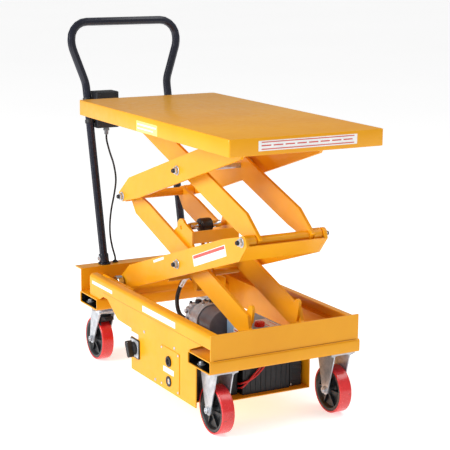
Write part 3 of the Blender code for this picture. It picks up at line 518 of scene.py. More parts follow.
# --- Pivots ---
def make_pivots():
    """Turned shafts with washers, chamfered nuts and threaded tips in place of the plain ones."""
    outer = ARM_FACE_Y
    sets = (("base_pivot_shaft", "base", FIXED_X, LEVELS[0], 0.1075, 0.0125),
            ("lower_centre_shaft", "lower_inner", CENTRE_X, LEVELS[1], outer, 0.0190),
            ("left_joint_shaft", "lower_inner", SLIDING_X, LEVELS[2], outer, 0.0190),
            ("right_joint_shaft", "lower_outer", FIXED_X, LEVELS[2], outer, 0.0190),
            ("upper_centre_shaft", "upper_inner", CENTRE_X, LEVELS[3], outer, 0.0190),
            ("table_pivot_shaft", "platform", FIXED_X, LEVELS[4], 0.1492, 0.0190))
    for node, body, x, z, half, tip in sets:
        work = bmesh.new()
        shaft = [(0, -half), (SHAFT_RADIUS, -half), (SHAFT_RADIUS, half), (0, half)]
        add_lathe(work, shaft, P(x, 0, z), (0, 1, 0), 28)
        for _, side in SIDES:
            place = P(x, side * half, z)
            axis = (0, side, 0)
            add_lathe(work, [(0, 0.0005), (0.0145, 0.0005), (0.0152, 0.0009), (0.0152, 0.0021), (0.0145, 0.0026),
                             (0, 0.0026)], place, axis, 32)
            add_hex(work, place + Vector(axis) * 0.0026, axis, 0.0205, 0.0090, 0.3 * side + x, 0.13)
        piece = add(f"{node}_turned", to_mesh(work), "zinc", body)
        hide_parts(node)
        thread = [(0, 0.004), *thread_profile(0.0072, 0.006, tip), (0, tip)]
        build(f"{node}_thread", "dark_metal_and_shade", body,
              *((add_lathe, thread, P(x, side * half, z), (0, side, 0), 24) for _, side in SIDES))


def make_hub_collars():
    """Collars and spacers that keep the arms apart at the pivots."""
    def spacer(name, x, z, y0, y1, radius, body, look="paint"):
        sleeve = [(0.0086, y0), (radius - 0.0012, y0), (radius, y0 + 0.0012), (radius, y1 - 0.0012),
                  (radius - 0.0012, y1), (0.0086, y1)]
        build(name, look, body, *((add_lathe, sleeve, P(x, 0, z), (0, side, 0), 40) for _, side in SIDES))

    spacer("right_joint_collar", FIXED_X, LEVELS[2], 0.0978, 0.1265, 0.0190, "upper_inner")
    spacer("left_joint_collar", SLIDING_X, LEVELS[2], 0.0978, 0.1265, 0.0190, "lower_inner")
    spacer("lower_centre_spacer", CENTRE_X, LEVELS[1], 0.0952, 0.1270, 0.0150, "lower_inner", "zinc")
    spacer("upper_centre_spacer", CENTRE_X, LEVELS[3], 0.0952, 0.1270, 0.0150, "upper_inner", "zinc")
    spacer("table_pivot_spacer", FIXED_X, LEVELS[4], 0.1382, 0.1406, 0.0140, "platform", "zinc")
    spacer("base_roller_washer", SLIDING_X, LEVELS[0], 0.1380, 0.1414, 0.0130, "lower_outer", "zinc")


make_pivots()
make_hub_collars()


# --- Wheels and casters ---
def rounded_profile(points, radius, steps=4):
    """A closed profile whose corners are rounded."""
    out = []
    count = len(points)
    for k in range(count):
        before, here, after = (Vector(points[(k + j) % count]) for j in (-1, 0, 1))
        back, ahead = before - here, after - here
        r = min(radius, back.length * 0.45, ahead.length * 0.45)
        start, end = here + back.normalized() * r, here + ahead.normalized() * r
        for step in range(steps + 1):
            t = step / steps
            out.append(tuple((1 - t) ** 2 * start + 2 * t * (1 - t) * here + t ** 2 * end))
    return out


def make_wheel(tag, body, x, y):
    place, axis = P(x, y, WHEEL_RADIUS), (0, 1, 0)
    tread = rounded_profile([(0.0668, 0.0203), (0.0668, -0.0203), (0.0700, -0.0209), (0.0729, -0.0196),
                             (0.0735, -0.0165), (0.0735, 0.0165), (0.0729, 0.0196), (0.0700, 0.0209)], 0.0016, 3)
    piece = build(f"tread_{tag}", "tread", body, (add_lathe, tread, place, axis, 72), smooth_angle=50)
    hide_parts(f"wheel_tread_{tag}")
    work = bmesh.new()
    core = rounded_profile([(0.0064, 0.0238), (0.0150, 0.0238), (0.0172, 0.0125), (0.0320, 0.0075),
                            (0.0530, 0.0090), (0.0580, 0.0192), (0.0655, 0.0204), (0.0664, 0.0190),
                            (0.0664, -0.0190), (0.0655, -0.0204), (0.0580, -0.0192), (0.0530, -0.0090),
                            (0.0320, -0.0075), (0.0172, -0.0125), (0.0150, -0.0238), (0.0064, -0.0238)], 0.0012, 2)
    add_lathe(work, core, place, axis, 64)
    for k in range(6):
        turn = 2 * math.pi * k / 6
        radial = Vector((math.cos(turn), 0, math.sin(turn)))
        across = Vector((-math.sin(turn), 0, math.cos(turn)))
        for _, side in SIDES:
            flat = [(0.0160, 0.0030, 0.0190), (0.0550, 0.0022, 0.0140)]
            ring = []
            for distance, half, height in flat:
                for sign in (-1, 1):
                    for level in (0.004, height):
                        ring.append(work.verts.new(place + radial * distance + across * half * sign
                                                   + Vector((0, side * level, 0))))
            a, b, c, d, e, f, g, h = ring
            for face in ((a, b, d, c), (e, g, h, f), (b, f, h, d), (a, e, f, b), (c, d, h, g), (a, c, g, e)):
                work.faces.new(face)
    piece = add(f"core_{tag}", to_mesh(work), "core", body, smooth_angle=30)
    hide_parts(f"wheel_core_{tag}")
    race = rounded_profile([(0.0065, 0.0225), (0.0128, 0.0225), (0.0128, 0.0246), (0.0065, 0.0250)], 0.0006, 2)
    build(f"bearing_{tag}", "steel", body, *((add_lathe, race, place, (0, side, 0), 32) for _, side in SIDES))


def make_casters():
    for side_name, side in SIDES:
        y = side * WHEEL_Y
        make_wheel(f"front_{side_name}", f"wheel_front_{side_name}", FRONT_WHEEL_X, y)
        make_wheel(f"rear_{side_name}", f"wheel_rear_{side_name}", REAR_WHEEL_X, y)
        for tag, x in (("front", FRONT_WHEEL_X), ("rear", SWIVEL_X)):
            for k, (dx, dy) in enumerate(((-0.040, -0.030), (0.040, -0.030), (-0.040, 0.030), (0.040, 0.030))):
                if side * dy > 0:
                    fastener(f"caster_nut_{tag}_{side_name}_{k}", P(x + dx, y + dy, 0.2020), UP, "base",
                             0.013, "zinc", 0.0075)
                fastener(f"caster_bolt_{tag}_{side_name}_{k}", P(x + dx, y + dy, 0.1935), (0, 0, -1), "base",
                         0.013, "zinc", 0.0050)
        place = P(SWIVEL_X, y, 0)
        build(f"swivel_race_{side_name}", "zinc", f"swivel_{side_name}",
              (add_lathe, rounded_profile([(0.012, 0.1795), (0.0385, 0.1765), (0.0395, 0.1810), (0.0345, 0.1865),
                  (0.012, 0.1885)], 0.0015, 3), place, UP, 48),
              smooth_angle=50)
        fastener(f"kingpin_{side_name}", P(SWIVEL_X, y, 0.1690), (0, 0, -1), f"swivel_{side_name}", 0.016,
                 "zinc", 0.006)
        for tag, x, body in (("front", FRONT_WHEEL_X, "base"), ("rear", REAR_WHEEL_X, f"swivel_{side_name}")):
            for end in (-1, 1):
                start = P(x, y + end * 0.0296, WHEEL_RADIUS)
                build(f"axle_end_{tag}_{side_name}_{'in' if end * side < 0 else 'out'}", "zinc", body,
                      (add_lathe, [(0, 0), (0.0115, 0), (0.0120, 0.0004), (0.0120, 0.0014), (0.0113, 0.0018),
                          (0, 0.0018)], start, (0, end, 0), 28),
                      (add_hex, start + Vector((0, end * 0.0016, 0)), (0, end, 0), 0.0175, 0.0068, 0.4, 0.14),
                      (add_lathe, [(0, 0.006), *thread_profile(0.0056, 0.007, 0.0108), (0, 0.0108)], start,
                          (0, end, 0), 18))
        make_brake(side_name, y)


def make_brake(side_name, y):
    """A moulded shoe that arches over the wheel, with a ribbed pedal at its end."""
    work = bmesh.new()
    pivot = P(BRAKE_PIN[0], y, BRAKE_PIN[1])
    hub = (REAR_WHEEL_X - BRAKE_PIN[0], WHEEL_RADIUS - BRAKE_PIN[1])
    shoe = [(-0.0387, -0.0102), (-0.0294, -0.0121), (-0.0195, -0.0155), (-0.0103, -0.0200), (-0.0050, -0.0232),
            (0.0030, -0.0170), (0.0075, -0.0070), (0.0090, 0.0000), (0.0040, 0.0045), (-0.0100, 0.0020),
            (-0.0376, -0.0060)]
    tongue = [(0.0000, 0.0040), (0.0260, 0.0010), (0.0320, -0.0030), (0.0330, -0.0085), (0.0300, -0.0085),
              (0.0265, -0.0040), (0.0050, -0.0010)]
    turns = [math.radians(88 - 8 * k) for k in range(6)]
    flange = ([(hub[0] + 0.0845 * math.cos(a), hub[1] + 0.0845 * math.sin(a)) for a in turns]
              + [(hub[0] + 0.0660 * math.cos(a), hub[1] + 0.0660 * math.sin(a)) for a in turns[::-1]])
    for outline, near, far in ((shoe, -0.0181, 0.0181), (tongue, -0.0160, 0.0160), (flange, 0.0180, 0.0190),
                               (flange, -0.0190, -0.0180)):
        add_slab(work, *([pivot + Vector((dx, reach, dz)) for dx, dz in outline] for reach in (near, far)))
    for k in range(3):
        x = 0.0120 + 0.0065 * k
        z = 0.0022 - 0.0008 * k
        add_box(work, pivot + Vector((x, -0.0140, z - 0.002)), pivot + Vector((x + 0.0026, 0.0140, z + 0.0016)))
    piece = add(f"brake_shoe_{side_name}", to_mesh(work), "plastic", f"brake_{side_name}", 0.0012)
    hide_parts(f"brake_pedal_{side_name}")
    build(f"brake_pin_{side_name}", "steel", f"brake_{side_name}",
          (add_lathe, [(0, -0.0250), (0.0035, -0.0250), (0.0035, 0.0250), (0, 0.0250)], pivot, (0, 1, 0), 20))


make_casters()


# --- Ram ---
RAM_FOOT = P(0.00903, 0, 0.31997)
RAM_HEAD = P(0.00296, 0, 0.51852)
RAM_AXIS = (RAM_HEAD - RAM_FOOT).normalized()


def make_ram():
    """A hard chromed rod with a dark forged eye, a gland on the barrel and discs that centre the eye."""
    length = (RAM_HEAD - RAM_FOOT).length
    piece = build("ram_rod_bar", "chrome", "ram_rod",
          (add_lathe, [(0, 0.082), (0.0125, 0.082), (0.0138, 0.0835), (0.0138, length - 0.0225),
              (0, length - 0.0225)], RAM_FOOT, RAM_AXIS, 40))
    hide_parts("ram_rod")
    eye = rounded_profile([(0.0157, -0.0165), (0.0228, -0.0165), (0.0228, 0.0165), (0.0157, 0.0165)], 0.0020, 3)
    build("ram_eye", "core", "ram_rod",
          (add_lathe, eye, RAM_HEAD, (0, 1, 0), 48),
          (add_lathe, [(0, -0.0340), (0.0145, -0.0340), (0.0172, -0.0300), (0.0172, -0.0215), (0, -0.0215)],
              RAM_HEAD, RAM_AXIS, 36),
          smooth_angle=50)
    for side_name, side in SIDES:
        disc = rounded_profile([(0.0082, 0.0172), (0.0215, 0.0172), (0.0215, 0.0200), (0.0140, 0.0212),
                                (0.0082, 0.0212)], 0.0008, 2)
        build(f"ram_pin_disc_{side_name}", "core", "lower_inner", (add_lathe, disc, RAM_HEAD, (0, side, 0), 40))
    sleeve = rounded_profile([(0.0084, -0.0150), (0.0118, -0.0150), (0.0118, 0.0150), (0.0084, 0.0150)], 0.0005, 2)
    build("ram_pin_sleeves", "chrome", "lower_inner",
          *((add_lathe, sleeve, RAM_HEAD + Vector((0, y0, 0)), (0, 1, 0), 32) for y0 in (-0.0400, 0.0400)))
    gland = rounded_profile([(0.0148, 0.1110), (0.0262, 0.1110), (0.0262, 0.1245), (0.0240, 0.1262),
                             (0.0148, 0.1262)], 0.0010, 3)
    build("ram_gland", "paint", "ram_barrel", (add_lathe, gland, RAM_FOOT, RAM_AXIS, 44), smooth_angle=50)
    build("ram_wiper", "rubber", "ram_barrel",
          (add_lathe, [(0.0142, 0.1255), (0.0190, 0.1255), (0.0185, 0.1285), (0.0150, 0.1300), (0.0142, 0.1290)],
              RAM_FOOT, RAM_AXIS, 36))


HOSE_ROUTE = ((-0.0549, -0.018, 0.3366), (-0.0700, -0.019, 0.3350), (-0.0890, -0.022, 0.3240),
              (-0.1070, -0.026, 0.3010), (-0.1200, -0.030, 0.2750), (-0.1255, -0.033, 0.2480),
              (-0.1170, -0.036, 0.2230), (-0.0950, -0.040, 0.2070), (-0.0620, -0.045, 0.2030),
              (-0.0280, -0.049, 0.2060), (-0.0060, -0.050, 0.2090), (0.0115, -0.050, 0.2090))


def make_hose_fittings():
    """Crimped ferrules at both ends of the hose, and hexagon nuts on the barrel's port and the block."""
    route = smooth_route([P(*point) for point in HOSE_ROUTE], 8)
    for name, first, last in (("hose_ferrule_top", 2, 27), ("hose_ferrule_low", len(route) - 15, len(route) - 5)):
        points = route[first:last]
        radii = [0.0088 if k % 4 else 0.0083 for k in range(len(points))]
        radii[0] = radii[-1] = 0.0076
        add(name, tube_mesh(points, radii, 24, name), "steel", "base")
    build("hose_port_nut", "dark_metal_and_shade", "ram_barrel",
          (add_hex, P(-0.0425, -0.018, 0.3370), (-1, 0, 0), 0.0200, 0.0110, 0.3, 0.12), bevel=0.0004)
    build("hose_block_nut", "steel", "base",
          (add_hex, P(0.0115, -0.050, 0.2090), (-1, 0, 0), 0.0190, 0.0090, 0.2, 0.12),
          (add_lathe, [(0.0072, 0.0090), (0.0084, 0.0090), (0.0084, 0.0130), (0.0072, 0.0130)],
              P(0.0115, -0.050, 0.2090), (-1, 0, 0), 24),
          bevel=0.0004)


make_ram()
make_hose_fittings()


# --- Power unit ---
def make_motor():
    centre = P(0.060, -0.034, 0.234)
    profile = [(0, 0.0003), (0.0455, 0.0003), (0.0488, 0.0030), (0.0488, 0.0375), (0.0474, 0.0382), (0.0474, 0.0402),
               (0.0508, 0.0410), (0.0508, 0.0515), (0.0485, 0.0546), (0.0310, 0.0550), (0.0290, 0.0536),
               (0.0140, 0.0536), (0.0120, 0.0550), (0, 0.0550)]
    piece = build("motor_case", "alloy", "base", (add_lathe, profile, centre, (1, 0, 0), 72), smooth_angle=32)
    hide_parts("pump_motor")
    ring = rounded_profile([(0.0511, 0.0470), (0.0546, 0.0470), (0.0546, 0.0575), (0.0511, 0.0575)], 0.0010, 2)
    build("motor_band", "alloy", "base", (add_lathe, ring, centre, (1, 0, 0), 72))
    barrel = [(0, 0.0530), (0.0476, 0.0530), (0.0496, 0.0550), (0.0496, 0.1310), (0.0476, 0.1330), (0, 0.1330)]
    build("motor_barrel", "motor", "base", (add_lathe, barrel, centre, (1, 0, 0), 72), smooth_angle=32)
    rim = [(0, 0.1335), (0.0515, 0.1335), (0.0535, 0.1348), (0.0535, 0.1382), (0.0515, 0.1395), (0, 0.1395)]
    build("motor_end_bell", "motor", "base", (add_lathe, rim, centre, (1, 0, 0), 72), smooth_angle=32)
    work = bmesh.new()
    for dy in (-0.010, 0.012):
        stud = centre + Vector((0.018, dy, 0.0470))
        add_lathe(work, [(0, 0), (0.0070, 0), (0.0070, 0.0035), (0.0030, 0.0040), (0.0030, 0.0110), (0, 0.0110)],
                  stud, UP, 20)
        add_hex(work, stud + Vector((0, 0, 0.0045)), UP, 0.0080, 0.0032, 0.2, 0.12)
    add("motor_studs", to_mesh(work), "steel", "base")
    wire = smooth_route([centre + Vector(point) for point in (
        (0.018, 0.012, 0.0545), (0.030, 0.026, 0.0550), (0.052, 0.046, 0.0480), (0.085, 0.060, 0.0200),
        (0.120, 0.064, -0.0150), (0.145, 0.059, -0.0640))], 8)
    add("motor_cable", tube_mesh(wire, 0.0042, 14, "motor_cable"), "rubber", "base")


def make_valve():
    """A cast block with a flange towards the motor, bosses, plugs and a solenoid coil."""
    x0, x1, y0, y1, z0, z1 = 0.0125, 0.0595, -0.0785, 0.0105, 0.1825, 0.2735
    work = bmesh.new()
    side = [(x0, y0 + 0.012), (x0 + 0.010, y0), (x1 - 0.012, y0), (x1 - 0.012, y1), (x0 + 0.010, y1),
            (x0, y1 - 0.012)]
    add_prism(work, side, z0, z1 - 0.012, P(0, 0, 0))
    crown = [(x0 + 0.004, y0 + 0.018), (x0 + 0.012, y0 + 0.010), (x1 - 0.014, y0 + 0.010), (x1 - 0.014, y1 - 0.010),
             (x0 + 0.012, y1 - 0.010), (x0 + 0.004, y1 - 0.018)]
    add_prism(work, crown, z1 - 0.0125, z1, P(0, 0, 0))
    piece = add("valve_casting", to_mesh(work), "alloy", "base", 0.0018)
    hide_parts("valve_block")
    centre = P(0, -0.034, 0.229)
    build("valve_flange", "alloy", "base",
          (add_lathe, rounded_profile([(0.0300, x1 - 0.0135), (0.0455, x1 - 0.0135), (0.0455, x1), (0.0300, x1)],
              0.0014, 2), centre, (1, 0, 0), 48))
    for k, (dy, dz) in enumerate(((-0.031, 0.031), (0.031, 0.031), (-0.031, -0.031), (0.031, -0.031))):
        fastener(f"flange_bolt_{k}", centre + Vector((x1 - 0.0135, dy, dz)), (-1, 0, 0), "base", 0.008, "zinc",
                 0.0045, socket=True)
    for k, (x, z, across) in enumerate(((0.030, 0.250, 0.014), (0.034, 0.222, 0.017), (0.026, 0.198, 0.012))):
        fastener(f"block_plug_{k}", P(x, y0, z), NEAR, "base", across, "zinc", 0.0060, washer=False)
    for k, (x, y) in enumerate(((0.024, -0.060), (0.040, -0.012), (0.024, -0.008))):
        fastener(f"block_screw_{k}", P(x, y, z1 - 0.0004), UP, "base", 0.009, "dark_metal_and_shade", 0.0055,
                 washer=False, socket=True)
    coil = rounded_profile([(0.0030, 0.2732), (0.0106, 0.2732), (0.0106, 0.2836), (0.0060, 0.2848),
                            (0.0030, 0.2848)], 0.0008, 2)
    build("valve_coil", "plastic", "base", (add_lathe, coil, P(0.038, -0.040, 0), UP, 32))


def make_tank_details():
    centre = P(0.355, 0, 0.2702)
    piece = build("oil_cap_knurled", "red", "base",
          (add_prism, knurled_outline(48, 0.0158, 0.0149, 2), 0.0010, 0.0130, centre),
          (add_lathe, [(0, 0.0128), (0.0145, 0.0128), (0.0138, 0.0150), (0.0080, 0.0157), (0, 0.0157)], centre,
              UP, 40),
          smooth_angle=30)
    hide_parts("oil_cap")
    build("oil_neck", "tank", "base",
          (add_lathe, rounded_profile([(0.0110, -0.0010), (0.0190, -0.0010), (0.0180, 0.0012), (0.0110, 0.0012)],
              0.0005, 2), centre, UP, 40))
    label("tank_top_label", P(0.372, 0.022, 0.2700), (0, 0.040, 0), (-0.085, 0, 0), UP, "base", "film",
          [(0.10, 0.24, 0.08, 0.90, "red_film"), (0.70, 0.80, 0.08, 0.60, "red_film")])
    label("tank_label", P(0.250, -0.0300, 0.2150), (0.055, 0, 0), (0, 0, 0.030), NEAR, "base", "film",
          [(0.08, 0.92, 0.68, 0.82, "red_film"), (0.08, 0.70, 0.24, 0.34, "red_film")])


make_motor()
make_valve()
make_tank_details()


# --- Panel fittings and batteries ---
def make_panel_details():
    face = PANEL_Y
    label("switch_sticker", P(-0.0200, face - 0.0002, 0.1780), (0.050, 0, 0), (0, 0, 0.0160), NEAR, "base",
          "film")
    label("switch_face", P(-0.0190, face - 0.004, 0.1170), (0.056, 0, 0), (0, 0, 0.056), NEAR, "base",
          "silver_film", [(0.06, 0.20, 0.44, 0.56, "red_film")])
    for k, (x, z) in enumerate(((-0.0165, 0.1195), (0.0345, 0.1195), (-0.0165, 0.1705), (0.0345, 0.1705))):
        screw(f"switch_screw_{k}", P(x, face - 0.0042, z), NEAR, "base", 0.0026)
    knob = P(SWITCH_AT[0], face - 0.0043, SWITCH_AT[1])
    work = bmesh.new()
    add_prism(work, knurled_outline(60, 0.0212, 0.0204, 3), 0.0002, 0.0062, knob, NEAR)
    add_lathe(work, [(0, 0.0060), (0.0198, 0.0060), (0.0186, 0.0088), (0.0150, 0.0102), (0, 0.0104)], knob,
              NEAR, 48)
    grip = rounded_outline((-0.0096, -0.0268), (0.0096, 0.0268), 0.0072)
    add_prism(work, grip, 0.0080, 0.0262, knob, NEAR, 0.42)
    piece = add("switch_knob_moulded", to_mesh(work), "plastic", "switch_knob", 0.0012)
    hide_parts("switch_knob")
    label("switch_pointer", knob + Vector((-0.0012, -0.0255, 0.0060)), (0.0024, 0, 0), (0, 0, 0.0170), NEAR,
          "switch_knob", "film")
    for k, (x, z) in enumerate(((0.072, 0.214), (0.278, 0.216), (0.150, 0.082))):
        screw(f"plate_screw_{k}", P(x, -RAIL_FACE_Y, z), NEAR, "base", 0.0050)
    for k, (x, z) in enumerate(((0.1965, 0.0845), (0.3055, 0.0845), (0.1965, 0.1995), (0.3055, 0.1995))):
        screw(f"cover_screw_{k}", P(x, face - 0.0015, z), NEAR, "base", 0.0040)
    socket = P(SOCKET_AT[0], face, SOCKET_AT[1])
    work = bmesh.new()
    add_lathe(work, rounded_profile([(0.0092, 0.0030), (0.0168, 0.0030), (0.0160, 0.0058), (0.0118, 0.0064),
                                     (0.0092, 0.0060)], 0.0008, 2), socket, NEAR, 40)
    for turn in (0.5, 2.6, 4.7):
        pin = socket + Vector((0.0048 * math.cos(turn), 0, 0.0048 * math.sin(turn)))
        add_lathe(work, [(0, 0.0020), (0.0014, 0.0020), (0.0014, 0.0048), (0, 0.0052)], pin, NEAR, 12)
    add("socket_bezel", to_mesh(work), "plastic", "base")
    gauge = P(GAUGE_AT[0], face, GAUGE_AT[1])
    build("gauge_lens", "silver_film", "base",
          (add_lathe, [(0, 0.0016), (0.0088, 0.0016), (0.0088, 0.0026), (0, 0.0030)], gauge, NEAR, 36))
    for k, look in enumerate(("red_film", "cream_film", "tank")):
        label(f"gauge_bar_{k}", gauge + Vector((-0.0058 + 0.0042 * k, -0.0030, -0.0030)), (0.0032, 0, 0),
              (0, 0, 0.0060), NEAR, "base", look)


def rounded_outline(low, high, radius, steps=6):
    corners = ((high[0] - radius, high[1] - radius, 0), (low[0] + radius, high[1] - radius, 1),
               (low[0] + radius, low[1] + radius, 2), (high[0] - radius, low[1] + radius, 3))
    return [(x + radius * math.cos((quarter + step / steps) * math.pi / 2),
             y + radius * math.sin((quarter + step / steps) * math.pi / 2))
            for x, y, quarter in corners for step in range(steps + 1)]


def make_batteries():
    z0 = BOX_FLOOR_Z
    for side_name, y0, y1, x1 in (("near", -0.237, -0.082, 0.367), ("far", -0.074, 0.090, 0.385)):
        ribs = [y0 + 0.010 + (y1 - y0 - 0.020) * k / 8 for k in range(9)]
        build(f"battery_ribs_{side_name}", "plastic", "base",
              *((add_box, P(x1 - 0.0004, y - 0.0016, z0 + 0.008), P(x1 + 0.0016, y + 0.0016, z0 + 0.076))
                for y in ribs), bevel=0.0005)
        for k, y in enumerate((y0 + 0.024, y1 - 0.024)):
            post = P(x1 - 0.026, y, z0 + 0.0958)
            build(f"battery_terminal_{side_name}_{k}", "red" if k else "plastic", "base",
                  (add_box, post + Vector((-0.010, -0.009, 0)), post + Vector((0.010, 0.009, 0.0060))), bevel=0.0012)
            fastener(f"terminal_bolt_{side_name}_{k}", post + Vector((0, 0, 0.0058)), UP, "base", 0.010,
                     "zinc", 0.0045)
        vent = [(0, 0), (0.0085, 0), (0.0078, 0.0022), (0, 0.0024)]
        build(f"battery_vents_{side_name}", "plastic", "base",
              *((add_lathe, vent, P(x1 - 0.085, y0 + 0.040 + 0.038 * k, z0 + 0.0960), UP, 24)
                for k in range(3)))
    link = smooth_route([P(0.341, -0.106, 0.1795), (0.352, -0.090 + MID, 0.1850), (0.362, -0.062 + MID, 0.1800),
                         P(0.359, -0.050, 0.1790)], 8)
    add("battery_link", tube_mesh(link, 0.0038, 14, "battery_link"), "red_wire", "base")
    for k, shift in enumerate((0.0, 0.013)):
        lead = smooth_route([P(0.345, 0.020 + shift, 0.1800), P(0.372, 0.012 + shift, 0.1830),
                             P(0.392, -0.002 + shift, 0.1760), P(0.396, -0.020 + shift, 0.1560),
                             P(0.393, -0.040 + shift, 0.1340), P(0.3915, -0.060 + shift * 0.6, 0.1140 + shift * 0.4),
                             P(0.3880, -0.0775, 0.0990 + shift), P(0.3620, -0.0780, 0.0900 + shift)], 8)
        add(f"battery_lead_{k}", tube_mesh(lead, 0.0030, 14, "battery_lead"), "red_wire", "base")
    build("charger_case", "plastic", "base",
          (add_box, P(0.240, 0.0960, BOX_FLOOR_Z), P(0.3790, 0.1380, 0.1660)), bevel=0.0025)
    for k in range(6):
        build(f"charger_fin_{k}", "plastic", "base",
              (add_box, P(0.3786, 0.1010, 0.0860 + 0.012 * k), P(0.3800, 0.1330, 0.0900 + 0.012 * k)), bevel=0.0005)
    screw("charger_screw", P(0.3790, 0.1000, 0.0790), (1, 0, 0), "base", 0.0034)
    build("tray_cover", "paint", "base",
          (add_box, P(0.200, 0.0920, 0.1950), P(0.4050, 0.1490, 0.1966)), bevel=0.0005)


def make_shade_liners_and_welds():
    """Dark sheets inside the caster tubes as painted shade, and the weld along each rail's lower edge and across the
    front beam, the darker beads painted groove shade.
    """
    z0, z1 = BEAM_Z[0] + BEAM_WALL, BEAM_Z[1] - BEAM_WALL
    for name, x0 in (("front", FRONT_BEAM_X - BEAM_DEPTH), ("rear", REAR_BEAM_X)):
        low, high = x0 + BEAM_WALL, x0 + BEAM_DEPTH - BEAM_WALL
        for side_name, side in SIDES:
            work = bmesh.new()
            outer = rounded_outline((low + 0.00005, z0 + 0.00005), (high - 0.00005, z1 - 0.00005), 0.0024)
            inner = rounded_outline((low + 0.0004, z0 + 0.0004), (high - 0.0004, z1 - 0.0004), 0.0021)
            near, far = side * 0.0300, side * 0.2530
            rings = [[work.verts.new(P(x, y, z)) for x, z in outline]
                     for outline, y in ((outer, near), (outer, far), (inner, far), (inner, near))]
            skin(work, rings, closed=True)
            # a dark sheet lining each tube: painted shade of the tube's inside
            add(f"beam_painted_shade_{name}_{side_name}", to_mesh(work), "dark_metal_and_shade", "base")
    for side_name, side in SIDES:
        count = 240
        start, end = -0.235, 0.448
        points = [P(start + (end - start) * k / count, side * RAIL_FACE_Y, 0.2699) for k in range(count + 1)]
        radii = [0.0010 + 0.0002 * math.sin(k * 1.3) for k in range(count + 1)]
        # the bead takes the darker copy of the paint: painted shade along the groove at the rail's lower edge
        add(f"rail_weld_{side_name}", tube_mesh(points, radii, 8, "weld"), "weld_groove_shade", "base")
    # the top bead is plain paint; the joint bead takes the darker copy of the paint as painted shade in the joint
    for name, z, tone in (("top", 0.2370, "paint"), ("joint", 0.2382, "weld_groove_shade")):
        points = [P(0.5147 if name == "top" else 0.5122, -0.2440 + 0.488 * k / 240, z) for k in range(241)]
        radii = [0.0012 + 0.0002 * math.sin(k * 1.1) for k in range(241)]
        add(f"front_weld_{name}", tube_mesh(points, radii, 8, "weld"), tone, "base")


make_shade_liners_and_welds()
make_panel_details()
make_batteries()


# --- Handle and controls ---
def make_handle_details():
    for side_name, side in SIDES:
        foot = P(HANDLE_FOOT[0], side * HANDLE_FOOT[1], HANDLE_FOOT[2])
        along = HANDLE_LEAN
        build(f"handle_collar_{side_name}", "enamel", "base",
              (add_lathe, rounded_profile([(0.0142, 0.0004), (0.0215, 0.0004), (0.0215, 0.0050), (0.0180, 0.0064),
                  (0.0142, 0.0064)], 0.0010, 3), foot, UP, 44),
              (add_lathe, rounded_profile([(0.0140, 0.0040), (0.0172, 0.0040), (0.0172, 0.0330), (0.0160, 0.0350),
                  (0.0140, 0.0350)], 0.0010, 3), foot, along, 44),
              smooth_angle=50)
        fastener(f"handle_bolt_{side_name}", foot + along * 0.0200 + Vector((0, -0.0168, 0)), NEAR, "base",
                 0.010, "zinc", 0.0050)
    grommet = rounded_profile([(0.0036, 0.3150), (0.0100, 0.3150), (0.0092, 0.3190), (0.0052, 0.3230),
                               (0.0036, 0.3230)], 0.0008, 2)
    build("cable_grommet", "rubber", "base", (add_lathe, grommet, P(-0.441, -0.112, 0), UP, 32))


def make_control_details():
    x0, x1, y0, y1, z0, z1 = -0.575, -0.515, -0.1395, -0.0580, 0.773, 0.897
    rim = 0.0006
    outer = rounded_outline((y0 - rim, z0 - rim), (y1 + rim, z1 + rim), 0.0040)
    matrix = Matrix(((0, 0, 1, 0), (1, 0, 0, MID), (0, 1, 0, 0), (0, 0, 0, 1)))
    build("control_seam", "plastic", "base",
          (add_slab, *([matrix @ Vector((a, b, x)) for a, b in outer] for x in (x1 - 0.0170, x1 - 0.0148))))
    for k, (y, z) in enumerate(((y0 + 0.009, z0 + 0.010), (y1 - 0.009, z0 + 0.010), (y0 + 0.009, z1 - 0.010),
                                (y1 - 0.009, z1 - 0.010))):
        screw(f"control_screw_{k}", P(x1 - 0.0002, y, z), (1, 0, 0), "base", 0.0038, "dark_metal_and_shade")
        screw(f"control_front_screw_{k}", P(x0 + 0.0002, y, z), (-1, 0, 0), "base", 0.0030, "dark_metal_and_shade")
    for name, z in (("raise", z1 - 0.038), ("lower", z0 + 0.038)):
        centre = P(x0, (y0 + y1) / 2, z)
        build(f"{name}_bezel", "grey", "base",
              (add_lathe, rounded_profile([(0.0126, -0.0010), (0.0168, -0.0010), (0.0162, 0.0026),
                  (0.0126, 0.0026)], 0.0008, 2), centre, (-1, 0, 0), 36))
        arrow = [(-0.0045, -0.0035), (0.0045, -0.0035), (0.0, 0.0050)]
        sign = 1 if name == "raise" else -1
        build(f"{name}_arrow", "film", f"{name}_button",
              (add_slab, *([centre + Vector((dx, a, sign * b)) for a, b in arrow] for dx in (-0.0061, -0.0064))))
    build("gland_nut", "grey", "base",
          (add_hex, P(-0.545, -0.093, 0.7600), UP, 0.0190, 0.0070, 0.3, 0.12), bevel=0.0004)
    strap = rounded_profile([(0.0141, -0.006), (0.0160, -0.006), (0.0160, 0.006), (0.0141, 0.006)], 0.0005, 2)
    build("control_clamps", "plastic", "base",
          *((add_lathe, strap, P(HANDLE_FOOT[0] + HANDLE_SLOPE * (z - 0.3186), -HANDLE_FOOT[1], z), HANDLE_LEAN, 36)
            for z in (0.795, 0.868)))


make_handle_details()
make_control_details()


